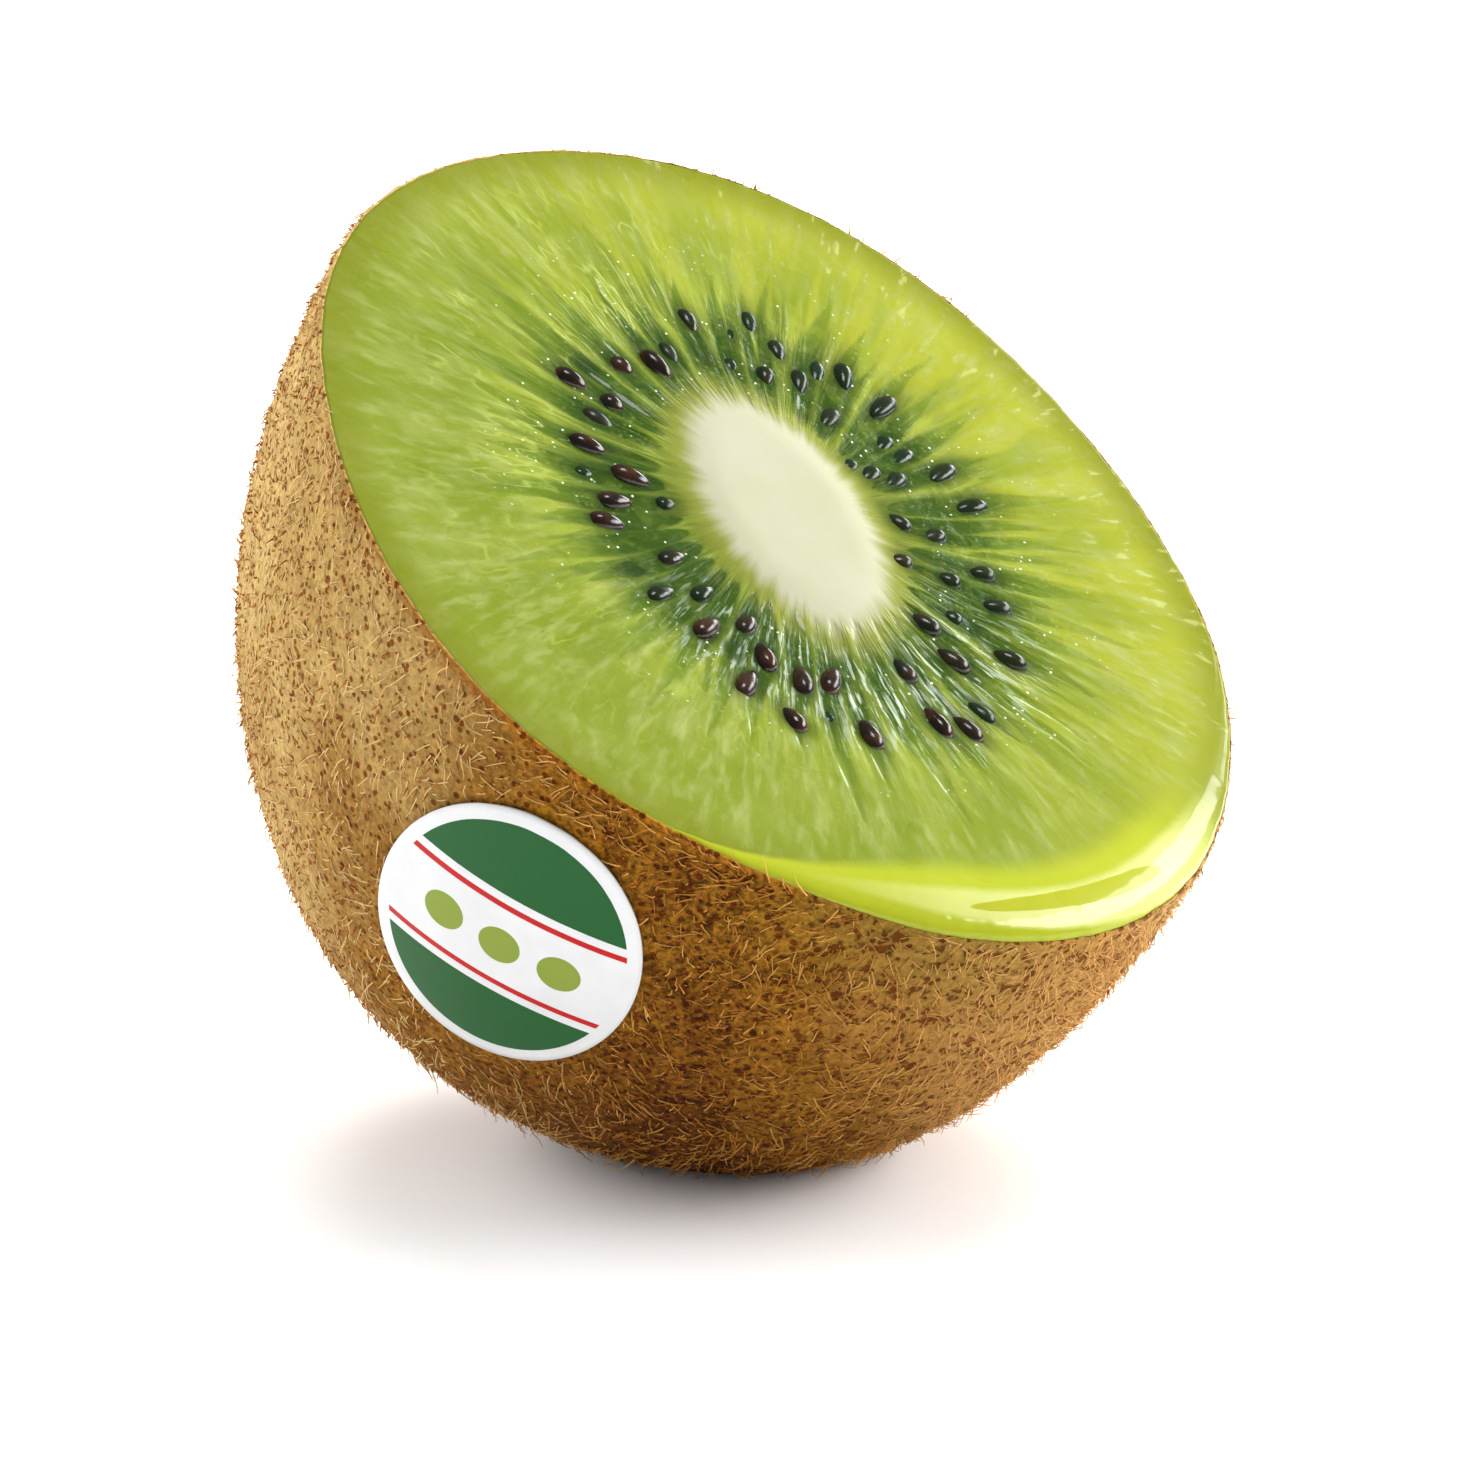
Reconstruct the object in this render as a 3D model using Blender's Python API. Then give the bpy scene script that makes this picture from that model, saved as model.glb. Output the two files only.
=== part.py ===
# Half of a green kiwi fruit, cut across the middle and standing tilted on a small flat spot.
# Metres, +Z up. The cut face leans towards -Y. Both pieces are modelled in the frame of the
# cut: its middle at the origin, the cut in the XY plane, and the fruit below it.

import math

import bmesh
import bpy
from mathutils import Matrix, Vector

# The fruit
CUT_HALF_LONG = 0.02626        # middle to rim, the long way across the cut
CUT_HALF_SHORT = 0.02360       # middle to rim, the short way
CUT_LONG_TURN = 73.8           # degrees from +X to the long way
RIM_WAVES = (                  # unevenness of the outline: waves round it, sine and cosine share
    (3, -0.0107, 0.0066), (4, 0.0032, -0.0060), (5, -0.0038, -0.0043))
HALF_DEPTH = 0.0317            # cut to rounded end
SIDE_FULLNESS = 2.34           # 2 is an ellipse, more is fuller
END_SHIFT = (0.00065, -0.00127)  # the rounded end lies off the middle by this much
END_LEAN = 1.5                 # how late on the way down most of that shift comes
TILT = 36.4                    # degrees from lying with the cut level
FLAT_DEPTH = 0.0012            # how much the weight has pressed flat at the bottom
FLAT_CLEAR = 0.00045           # no other corner of the skin lies nearer the flat spot's edge

# The low side of the rim. Stretches: degrees from the long way to the middle, and from there
# to where it ends and to where it starts to fade
ROLL_STRETCH = (201.0, 60.0, 8.0)  # the flesh's edge rolls over the skin
ROLL_DROP = (0.00020, 0.00092)  # skin below the cut: elsewhere, and in that stretch
ROLL_START = (0.975, 0.885)    # where the roll starts on the way to the rim: elsewhere, there
INSET_STRETCH = (173.0, 53.0, 4.0)  # the outline is drawn in
INSET = 0.024                  # share of the size

# The cut face
RING_MIDDLE = Vector((0.0011, 0.0008))  # middle of the core and of the ring of seeds
CORE_HALF = (0.0081, 0.0049)   # half the core, the long and the short way
CORE_FADE = (0.6, 1.2)         # its rise fades between these shares of that size
CORE_RISE = 0.00030            # the firm core stands proud
RING_RADIUS = (0.0122, 0.0106)  # middle of the ring of seeds, the long and the short way
RING_WIDTH = 0.0042            # width of the softer ring round the seeds
RING_DIP = 0.00022             # how far it has sunk
LOCULES = 32                   # seed chambers round the core
RAY_START = 0.9                # the ridges between them start at this share of the core
RAY_WIDTH = 0.0067             # how far they run to either side of the ring
RAY_DEPTH = 0.00010

# The seeds
SEED_WIDTH = 0.00058           # half
SEED_THICKNESS = 0.00045       # half
SEED_TAPER = 0.22              # wider at the outer end by this share
SEED_LIFT = 0.00005            # middle of a bare seed over the cut
SEED_SINK = 0.0004             # how much lower a seed lies that is marked 1
# for each seed its angle in degrees and its distance in mm from the ring's middle, its turn
# in degrees from the radial way, its length in mm, and how deep it lies in the flesh
SEEDS = (
    (2, 11.6, 12, 2.4, 0.15), (4, 8.3, 10, 1.9, 0.3), (10, 7.2, 7, 1.7, 0.4),
    (11, 10.2, 1, 2.3, 0.5), (17, 10.1, 6, 1.8, 0.5), (24, 12.5, -5, 2.4, 0.0),
    (34, 9.1, -10, 2.0, 0.3), (35, 12.9, 19, 2.1, 0.0), (41, 12.3, 7, 2.2, 0.5),
    (45, 10.9, 5, 2.0, 0.25), (51, 12.7, 13, 1.7, 0.4), (55, 10.3, -1, 1.5, 0.2),
    (57, 14.2, 5, 1.8, 0.5), (72, 13.4, 7, 1.8, 0.3), (83, 11.1, 1, 1.7, 0.4),
    (90, 10.5, 11, 2.0, 0.0), (101, 11.0, 10, 1.4, 0.1), (117, 9.8, 4, 1.4, 0.2),
    (118, 12.1, 4, 1.8, 0.0), (127, 10.0, -10, 1.9, 0.3), (140, 10.3, -7, 2.0, 0.0),
    (149, 8.2, -14, 2.1, 0.0), (161, 6.7, -1, 1.3, 0.4), (161, 9.5, 0, 2.0, 0.1),
    (169, 10.6, -20, 1.9, 0.0), (186, 8.5, -7, 1.9, 0.25), (194, 11.0, -10, 2.1, 0.3),
    (201, 8.9, -7, 1.9, 0.4), (208, 11.0, -15, 2.0, 0.0), (217, 9.2, -11, 1.8, 0.2),
    (221, 13.3, -10, 2.3, 0.1), (224, 10.9, 24, 1.9, 0.0), (231, 14.7, 35, 1.7, 0.0),
    (234, 11.6, 6, 2.0, 0.1), (242, 11.0, -25, 2.1, 0.1), (247, 14.4, 10, 2.0, 0.0),
    (265, 13.6, 2, 2.1, 0.0), (267, 10.2, 5, 1.7, 0.25), (271, 14.3, 11, 1.9, 0.15),
    (278, 13.7, 8, 1.8, 0.4), (285, 10.7, 10, 1.9, 0.0), (290, 8.5, 6, 1.7, 0.1),
    (299, 12.7, 8, 1.8, 0.0), (302, 9.3, 1, 1.3, 0.5), (315, 11.3, 18, 1.7, 0.1),
    (317, 6.1, 14, 1.4, 0.3), (318, 8.7, -3, 1.4, 0.15), (326, 10.6, 10, 1.5, 0.0),
    (338, 8.4, 20, 1.6, 0.2), (343, 6.6, -45, 1.5, 0.2), (351, 11.9, 5, 2.2, 0.3))

# The sticker on the skin
LABEL_PLACE = (-0.0212, -0.0113, -0.0097)  # on the skin, in the frame of the cut
LABEL_HALF = (0.0065, 0.0081)  # half its size round the fruit and towards the cut
LABEL_SHIFT = (-0.0001, -0.0013)
LABEL_GAP = 0.00020            # clear of the skin
LABEL_THICKNESS = 0.00025

# Faces and search steps
AROUND = 96
CUT_STEPS = 10
EDGE_STEPS = 4
SIDE_STEPS = 19
SEED_AROUND = 6
SEED_STEPS = 4
LABEL_AROUND = 32
LABEL_STEPS = 5
SEARCH = 4                     # finer than the faces by this much when looking for a place
SLIDE_ROUNDS = 12
NUDGE = 0.002                  # small change of angle or share for a slope

SKIN, FLESH, CORE = range(3)


def clear_scene():
    for item in list(bpy.data.objects):
        bpy.data.objects.remove(item, do_unlink=True)


def make_material(name, colour, roughness):
    material = bpy.data.materials.new(name)
    material.use_nodes = True
    shader = material.node_tree.nodes["Principled BSDF"]
    shader.inputs["Base Color"].default_value = (*colour, 1.0)
    shader.inputs["Roughness"].default_value = roughness
    shader.inputs["Metallic"].default_value = 0.0
    material.diffuse_color = (*colour, 1.0)
    return material


def smooth_step(value):
    value = min(max(value, 0.0), 1.0)
    return value * value * (3.0 - 2.0 * value)


def bump(value, width):
    return math.exp(-((value / width) ** 2))


def stretch_share(angle, stretch):
    # 1 in the middle of a stretch of the rim, 0 away from it
    middle, reach, full = stretch
    away = abs((math.degrees(angle) - middle + 180.0) % 360.0 - 180.0)
    return smooth_step((reach - away) / (reach - full))


def blend(pair, share):
    return pair[0] + (pair[1] - pair[0]) * share


def outline(angle):
    # the full outline of the fruit at the cut, by the angle from its long way
    size = 1.0
    for count, sine, cosine in RIM_WAVES:
        size += sine * math.sin(count * angle) + cosine * math.cos(count * angle)
    flat = Vector((CUT_HALF_LONG * math.cos(angle), CUT_HALF_SHORT * math.sin(angle)))
    return size * (Matrix.Rotation(math.radians(CUT_LONG_TURN), 2) @ flat)


def skin_point(angle, share):
    # share runs from 0 at the rim to 1 at the rounded end
    start = blend(ROLL_DROP, stretch_share(angle, ROLL_STRETCH)) / HALF_DEPTH
    down = start + (1.0 - start) * share
    width = max(1.0 - down ** SIDE_FULLNESS, 0.0) ** (1.0 / SIDE_FULLNESS)
    width *= 1.0 - INSET * stretch_share(angle, INSET_STRETCH) * (1.0 - down) ** 2
    flat = outline(angle) * width + Vector(END_SHIFT) * down ** END_LEAN
    return Vector((flat.x, flat.y, -HALF_DEPTH * down))


def oval_share(point, half):
    # distance from the ring's middle as a share of an oval with these half sizes
    turned = Matrix.Rotation(-math.radians(CUT_LONG_TURN), 2) @ (point - RING_MIDDLE)
    return math.hypot(turned.x / half[0], turned.y / half[1]), math.atan2(turned.y, turned.x)


def relief(point):
    # height of the cut face over its plane
    core, _ = oval_share(point, CORE_HALF)
    ring, angle = oval_share(point, RING_RADIUS)
    away = (ring - 1.0) * RING_RADIUS[0]
    fade = (core - CORE_FADE[0]) / (CORE_FADE[1] - CORE_FADE[0])
    rays = smooth_step(core - RAY_START) * bump(away, RAY_WIDTH)
    height = CORE_RISE * (1.0 - smooth_step(fade))
    height -= RING_DIP * bump(away, RING_WIDTH)
    height += RAY_DEPTH * math.cos(LOCULES * angle) * rays
    return height


def cut_point(angle, step):
    # steps run from the middle of the cut to the rim of the skin
    rim = skin_point(angle, 0.0)
    start = blend(ROLL_START, stretch_share(angle, ROLL_STRETCH))
    if step <= CUT_STEPS:
        across = start * step / CUT_STEPS
        fall = 0.0
    else:
        turn = 0.5 * math.pi * (step - CUT_STEPS) / EDGE_STEPS
        across = start + (1.0 - start) * math.sin(turn)
        fall = 1.0 - math.cos(turn)
    flat = rim.xy * across
    return Vector((flat.x, flat.y, rim.z * fall + relief(flat) * (1.0 - fall)))


def ring_of(mesh, point_at):
    return [mesh.verts.new(point_at(2.0 * math.pi * i / AROUND)) for i in range(AROUND)]


def join_rings(mesh, first, second, slot):
    for i in range(AROUND):
        k = (i + 1) % AROUND
        face = mesh.faces.new((first[i], first[k], second[k], second[i]))
        face.material_index = slot


def close_ring(mesh, ring, tip, slot):
    for i in range(AROUND):
        face = mesh.faces.new((ring[i], ring[(i + 1) % AROUND], tip))
        face.material_index = slot


def flatten_bottom(mesh):
    # slices the pressed spot, level once the fruit is tilted
    up = Vector((0.0, math.sin(math.radians(TILT)), math.cos(math.radians(TILT))))
    lowest = min(vertex.co.dot(up) for vertex in mesh.verts)
    result = bmesh.ops.bisect_plane(
        mesh, geom=mesh.verts[:] + mesh.edges[:] + mesh.faces[:],
        plane_co=up * (lowest + FLAT_DEPTH), plane_no=up, clear_inner=True)
    border = [item for item in result["geom_cut"] if isinstance(item, bmesh.types.BMEdge)]
    bmesh.ops.edgeloop_fill(mesh, edges=border, mat_nr=SKIN)
    corners = {vertex for edge in border for vertex in edge.verts}
    close = {}
    for corner in corners:
        for edge in corner.link_edges:
            other = edge.other_vert(corner)
            if other not in corners and edge.calc_length() < FLAT_CLEAR:
                close[other] = corner
    bmesh.ops.weld_verts(mesh, targetmap=close)
    bmesh.ops.recalc_face_normals(mesh, faces=mesh.faces[:])


def build_half(materials):
    mesh = bmesh.new()
    cut_rings = [
        ring_of(mesh, lambda angle, step=step: cut_point(angle, step))
        for step in range(1, CUT_STEPS + EDGE_STEPS + 1)]
    middle = mesh.verts.new((0.0, 0.0, relief(Vector((0.0, 0.0)))))
    close_ring(mesh, cut_rings[0], middle, CORE)
    for inner, outer in zip(cut_rings, cut_rings[1:]):
        join_rings(mesh, inner, outer, FLESH)
    previous = cut_rings[-1]
    for step in range(1, SIDE_STEPS):
        share = math.sin(0.5 * math.pi * step / SIDE_STEPS)
        ring = ring_of(mesh, lambda angle, share=share: skin_point(angle, share))
        join_rings(mesh, previous, ring, SKIN)
        previous = ring
    tip = mesh.verts.new((END_SHIFT[0], END_SHIFT[1], -HALF_DEPTH))
    close_ring(mesh, previous, tip, SKIN)
    for face in mesh.faces:
        if face.material_index == FLESH:
            core, _ = oval_share(face.calc_center_median().xy, CORE_HALF)
            face.material_index = CORE if core < 1.0 else FLESH
    flatten_bottom(mesh)
    return mesh_object("kiwi_half", mesh, materials)


def mesh_object(name, mesh, materials):
    data = bpy.data.meshes.new(name)
    mesh.to_mesh(data)
    mesh.free()
    for material in materials:
        data.materials.append(material)
    item = bpy.data.objects.new(name, data)
    bpy.context.scene.collection.objects.link(item)
    return item


def seed_places():
    # where each seed's middle lies on the cut, its heading, length and depth in the flesh
    places = []
    for angle, away, turn, length, deep in SEEDS:
        radial = math.radians(angle)
        flat = Vector((math.cos(radial), math.sin(radial))) * away / 1000.0
        places.append((RING_MIDDLE + flat, radial + math.radians(turn), length / 1000.0, deep))
    return places


def build_seed(flat, heading, length, deep, material):
    # a drop: blunt at the outer end and drawn out towards the core
    mesh = bmesh.new()
    bmesh.ops.create_uvsphere(
        mesh, u_segments=SEED_AROUND, v_segments=SEED_STEPS, radius=1.0)
    lay_down = Matrix.Rotation(math.radians(90.0), 4, "Y")
    bmesh.ops.transform(mesh, matrix=lay_down, verts=mesh.verts[:])
    for vertex in mesh.verts:
        taper = 1.0 + SEED_TAPER * vertex.co.x
        vertex.co = Vector((
            vertex.co.x * length / 2.0,
            vertex.co.y * SEED_WIDTH * taper,
            vertex.co.z * SEED_THICKNESS * taper))
    height = SEED_LIFT - SEED_SINK * deep + relief(flat)
    place = Matrix.Translation((flat.x, flat.y, height)) @ Matrix.Rotation(heading, 4, "Z")
    bmesh.ops.transform(mesh, matrix=place, verts=mesh.verts[:])
    return mesh_object("seed", mesh, [material])


def fuse_seeds(half, material):
    group = bpy.data.collections.new("seeds")
    bpy.context.scene.collection.children.link(group)
    for place in seed_places():
        seed = build_seed(*place, material)
        bpy.context.scene.collection.objects.unlink(seed)
        group.objects.link(seed)
    union = half.modifiers.new("seeds", "BOOLEAN")
    union.operation = "UNION"
    union.operand_type = "COLLECTION"
    union.collection = group
    union.solver = "EXACT"
    union.material_mode = "TRANSFER"
    bpy.context.view_layer.update()
    result = bpy.data.meshes.new_from_object(
        half.evaluated_get(bpy.context.evaluated_depsgraph_get()))
    half.modifiers.remove(union)
    half.data = result
    result.name = half.name
    for seed in list(group.objects):
        bpy.data.objects.remove(seed, do_unlink=True)
    bpy.data.collections.remove(group)


def nearest_on_skin(place):
    # the angle and share of the skin's point nearest to a place
    best = None
    for i in range(SEARCH * AROUND):
        for k in range(1, SEARCH * SIDE_STEPS):
            angle = 2.0 * math.pi * i / (SEARCH * AROUND)
            share = k / (SEARCH * SIDE_STEPS)
            distance = (skin_point(angle, share) - place).length_squared
            if best is None or distance < best[0]:
                best = (distance, angle, share)
    return best[1], best[2]


def skin_normal(angle, share):
    along = skin_point(angle + NUDGE, share) - skin_point(angle - NUDGE, share)
    down = skin_point(angle, share + NUDGE) - skin_point(angle, share - NUDGE)
    return down.cross(along).normalized()


def slide_to_skin(point, outward, angle, share):
    # where a line through the point, along the outward way, meets the skin
    for _ in range(SLIDE_ROUNDS):
        here = skin_point(angle, share)
        normal = skin_normal(angle, share)
        step = (here - point).dot(normal) / outward.dot(normal)
        miss = point + outward * step - here
        side = (skin_point(angle + NUDGE, share) - here) / NUDGE
        down = (skin_point(angle, share + NUDGE) - here) / NUDGE
        angle += miss.dot(side) / side.length_squared
        share += miss.dot(down) / down.length_squared
        share = min(max(share, NUDGE), 1.0 - NUDGE)
    return skin_point(angle, share), skin_normal(angle, share)


def build_label(material):
    angle, share = nearest_on_skin(Vector(LABEL_PLACE))
    centre = skin_point(angle, share)
    outward = skin_normal(angle, share)
    up = Vector((0.0, 0.0, 1.0))
    up = (up - outward * up.dot(outward)).normalized()
    side = up.cross(outward)
    mesh = bmesh.new()
    layers = []
    for height in (LABEL_GAP, LABEL_GAP + LABEL_THICKNESS):
        rings = []
        for step in range(LABEL_STEPS + 1):
            reach = step / LABEL_STEPS
            count = LABEL_AROUND if step else 1
            ring = []
            for i in range(count):
                turn = 2.0 * math.pi * i / LABEL_AROUND
                right = LABEL_SHIFT[0] + LABEL_HALF[0] * reach * math.cos(turn)
                high = LABEL_SHIFT[1] + LABEL_HALF[1] * reach * math.sin(turn)
                start = centre + side * right + up * high
                point, normal = slide_to_skin(start, outward, angle, share)
                ring.append(mesh.verts.new(point + normal * height))
            rings.append(ring)
        layers.append(rings)
    for rings in layers:
        for i in range(LABEL_AROUND):
            k = (i + 1) % LABEL_AROUND
            mesh.faces.new((rings[0][0], rings[1][i], rings[1][k]))
            for inner, outer in zip(rings[1:], rings[2:]):
                mesh.faces.new((inner[i], outer[i], outer[k], inner[k]))
    for i in range(LABEL_AROUND):
        k = (i + 1) % LABEL_AROUND
        mesh.faces.new((layers[0][-1][i], layers[0][-1][k], layers[1][-1][k], layers[1][-1][i]))
    bmesh.ops.recalc_face_normals(mesh, faces=mesh.faces[:])
    return mesh_object("fruit_label", mesh, [material])


def stand_on_floor(half):
    # tilts the fruit, puts the flat spot at height 0 and the box's middle over the origin
    half.rotation_euler = (math.radians(TILT), 0.0, 0.0)
    bpy.context.view_layer.update()
    corners = [half.matrix_world @ vertex.co for vertex in half.data.vertices]
    low = [min(point[axis] for point in corners) for axis in range(3)]
    high = [max(point[axis] for point in corners) for axis in range(3)]
    half.location = (-(low[0] + high[0]) / 2.0, -(low[1] + high[1]) / 2.0, -low[2])


def shade(item, degrees):
    item.data.shade_smooth()
    item.data.set_sharp_from_angle(angle=math.radians(degrees))


def main():
    clear_scene()
    skin = make_material("fuzzy_skin", (0.33, 0.19, 0.075), 0.85)
    flesh = make_material("green_flesh", (0.42, 0.56, 0.07), 0.35)
    core = make_material("pale_core", (0.80, 0.82, 0.52), 0.45)
    seed = make_material("black_seed", (0.020, 0.014, 0.012), 0.25)
    paper = make_material("label_paper", (0.85, 0.86, 0.84), 0.40)
    half = build_half([skin, flesh, core, seed])
    fuse_seeds(half, seed)
    label = build_label(paper)
    label.parent = half
    stand_on_floor(half)
    shade(half, 35.0)
    shade(label, 35.0)
    print("cut middle at", [round(value, 5) for value in half.location])


main()
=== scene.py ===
import math
import random

import bmesh
import bpy
import numpy as np
from mathutils import Matrix, Vector


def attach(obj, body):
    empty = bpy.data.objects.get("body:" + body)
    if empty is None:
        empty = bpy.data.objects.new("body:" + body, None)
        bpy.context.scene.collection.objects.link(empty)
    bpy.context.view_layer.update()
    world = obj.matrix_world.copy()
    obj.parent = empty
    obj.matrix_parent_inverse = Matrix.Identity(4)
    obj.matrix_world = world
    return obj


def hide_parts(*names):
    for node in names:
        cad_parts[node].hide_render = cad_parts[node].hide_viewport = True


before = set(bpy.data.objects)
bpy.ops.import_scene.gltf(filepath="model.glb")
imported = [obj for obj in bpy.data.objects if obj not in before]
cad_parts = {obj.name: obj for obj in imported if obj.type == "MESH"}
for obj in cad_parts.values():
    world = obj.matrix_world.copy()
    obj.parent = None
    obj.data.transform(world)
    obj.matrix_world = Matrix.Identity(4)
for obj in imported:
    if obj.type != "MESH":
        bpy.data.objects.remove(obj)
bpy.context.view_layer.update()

# Half a kiwi fruit on a pale floor. Lengths are in metres.
# The fruit's own frame has the middle of the cut at its origin and the flesh below it.

turnFull = 2.0 * math.pi

fruitSize = {
    "cutMiddle": (0.00038, -0.00427, 0.03061),  # where the middle of the cut is
    "tilt": 36.4,               # degrees that the cut leans forward
    "halfLong": 0.02626,        # middle to rim, the long way
    "halfShort": 0.02360,       # middle to rim, the short way
    "longTurn": 73.8,           # degrees from the right to the long way
    # unevenness of the outline: waves round it, sine and cosine share
    "waves": ((3, -0.0107, 0.0066), (4, 0.0032, -0.0060), (5, -0.0038, -0.0043)),
    "depth": 0.0317,            # cut to rounded end
    "fullness": 2.34,           # of the side's profile
    "endShift": (0.00065, -0.00127),
    "endLean": 1.5,
    "edgeRough": 0.0022,        # unevenness of the cut's edge, as a share of its width
}

# stretches of the rim: degrees to the middle, and from there to where it ends and fades
rollSize = {
    "stretch": (197.0, 60.0, 16.0),
    "drop": (0.00004, 0.00092),  # skin below the cut: elsewhere, and in the roll
    "start": (0.9975, 0.885),    # where it starts on the way to the rim: elsewhere, there
    "insetStretch": (173.0, 53.0, 4.0),
    "inset": 0.024,
}

cutSize = {
    "ringMiddle": (0.0011, 0.0008),
    "coreHalf": (0.0081, 0.0049),
    "coreFade": (0.6, 1.2),
    "coreRise": 0.00030,
    "ringRadius": (0.0122, 0.0106),
    "ringWidth": 0.0042,
    "ringDip": 0.00022,
}


def smoothStep(value):
    value = np.clip(value, 0.0, 1.0)
    return value * value * (3.0 - 2.0 * value)


def softHill(value, width):
    return np.exp(-(value / width) ** 2)


def mixPair(pair, share):
    return pair[0] + (pair[1] - pair[0]) * share


def turnFlat(points, degrees):
    turn = math.radians(degrees)
    cosine, sine = math.cos(turn), math.sin(turn)
    return np.stack([cosine * points[..., 0] - sine * points[..., 1],
                     sine * points[..., 0] + cosine * points[..., 1]], axis=-1)


def latticeNoise(points, scale, seed):
    # smooth noise from -1 to 1 at an array of places
    table = np.random.default_rng(seed).uniform(-1.0, 1.0, 8192)
    place = np.asarray(points) * scale + 1000.0
    whole = np.floor(place).astype(np.int64)
    part = place - whole
    part = part * part * (3.0 - 2.0 * part)
    total = 0.0
    for corner in range(8):
        step = np.array([corner & 1, corner >> 1 & 1, corner >> 2])
        spot = whole + step
        key = spot[..., 0] * 73856093 ^ spot[..., 1] * 19349663 ^ spot[..., 2] * 83492791
        weight = np.prod(np.where(step == 1, part, 1.0 - part), axis=-1)
        total = total + weight * table[key & 8191]
    return total


def stretchShare(angle, stretch):
    middle, reach, full = stretch
    away = np.abs((np.degrees(angle) - middle + 180.0) % 360.0 - 180.0)
    return smoothStep((reach - away) / (reach - full))


def rollShare(angle):
    return stretchShare(angle, rollSize["stretch"])


def rimOutline(angle):
    size = 1.0
    for count, sine, cosine in fruitSize["waves"]:
        size = size + sine * np.sin(count * angle) + cosine * np.cos(count * angle)
    flat = np.stack([fruitSize["halfLong"] * np.cos(angle),
                     fruitSize["halfShort"] * np.sin(angle)], axis=-1)
    return turnFlat(flat, fruitSize["longTurn"]) * size[..., None]


def skinPoint(angle, share):
    # share runs from 0 at the rim to 1 at the rounded end
    start = mixPair(rollSize["drop"], rollShare(angle)) / fruitSize["depth"]
    down = start + (1.0 - start) * share
    power = fruitSize["fullness"]
    width = np.maximum(1.0 - down ** power, 0.0) ** (1.0 / power)
    drawn = rollSize["inset"] * stretchShare(angle, rollSize["insetStretch"])
    width = width * (1.0 - drawn * (1.0 - down) ** 2)
    around = np.stack([np.cos(angle), np.sin(angle), 0.0 * angle], axis=-1)
    rough = 0.6 * latticeNoise(around, 26.0, 21) + 0.4 * latticeNoise(around, 70.0, 22)
    width = width + fruitSize["edgeRough"] * rough * (1.0 - share) ** 8
    middle = np.array(fruitSize["endShift"]) * (down ** fruitSize["endLean"])[..., None]
    flat = rimOutline(angle) * width[..., None] + middle
    return np.concatenate([flat, -fruitSize["depth"] * down[..., None]], axis=-1)


def skinNormal(angle, share):
    small = 0.003
    along = skinPoint(angle + small, share) - skinPoint(angle - small, share)
    high = np.clip(share + small, 0.0, 0.999)
    down = skinPoint(angle, high) - skinPoint(angle, np.clip(share - small, 0.0, 0.999))
    normal = np.cross(down, along)
    return normal / np.linalg.norm(normal, axis=-1, keepdims=True)


def toWorld(points):
    tilt = math.radians(fruitSize["tilt"])
    cosine, sine = math.cos(tilt), math.sin(tilt)
    turned = np.stack([points[..., 0],
                       cosine * points[..., 1] - sine * points[..., 2],
                       sine * points[..., 1] + cosine * points[..., 2]], axis=-1)
    return turned + np.array(fruitSize["cutMiddle"])


def ovalShare(flat, half):
    # distance from the ring's middle as a share of an oval, and the angle round it
    turned = turnFlat(flat - np.array(cutSize["ringMiddle"]), -fruitSize["longTurn"])
    return (np.hypot(turned[..., 0] / half[0], turned[..., 1] / half[1]),
            np.arctan2(turned[..., 1] / half[1], turned[..., 0] / half[0]))


def ringFaces(ringCount, around, first=0):
    # quads between neighbouring rings of points, ring after ring
    faces = []
    for ring in range(ringCount - 1):
        low = first + ring * around
        for i in range(around):
            k = (i + 1) % around
            faces.append((low + i, low + k, low + around + k, low + around + i))
    return faces


def addObject(name, data):
    piece = bpy.data.objects.new(name, data)
    bpy.context.scene.collection.objects.link(piece)
    return piece


def makePiece(name, points, faces, material=None, marks=None):
    data = bpy.data.meshes.new(name)
    data.from_pydata(points.tolist(), [], faces)
    work = bmesh.new()
    work.from_mesh(data)
    bmesh.ops.recalc_face_normals(work, faces=work.faces[:])
    work.to_mesh(data)
    work.free()
    if material:
        data.materials.append(material)
    for mark, values in (marks or {}).items():
        kind, key = ("FLOAT_VECTOR", "vector") if values.ndim == 2 else ("FLOAT", "value")
        layer = data.attributes.new(mark, kind, "POINT")
        layer.data.foreach_set(key, values.astype(np.float32).ravel())
    data.shade_smooth()
    data.update()
    return addObject(name, data)


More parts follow.
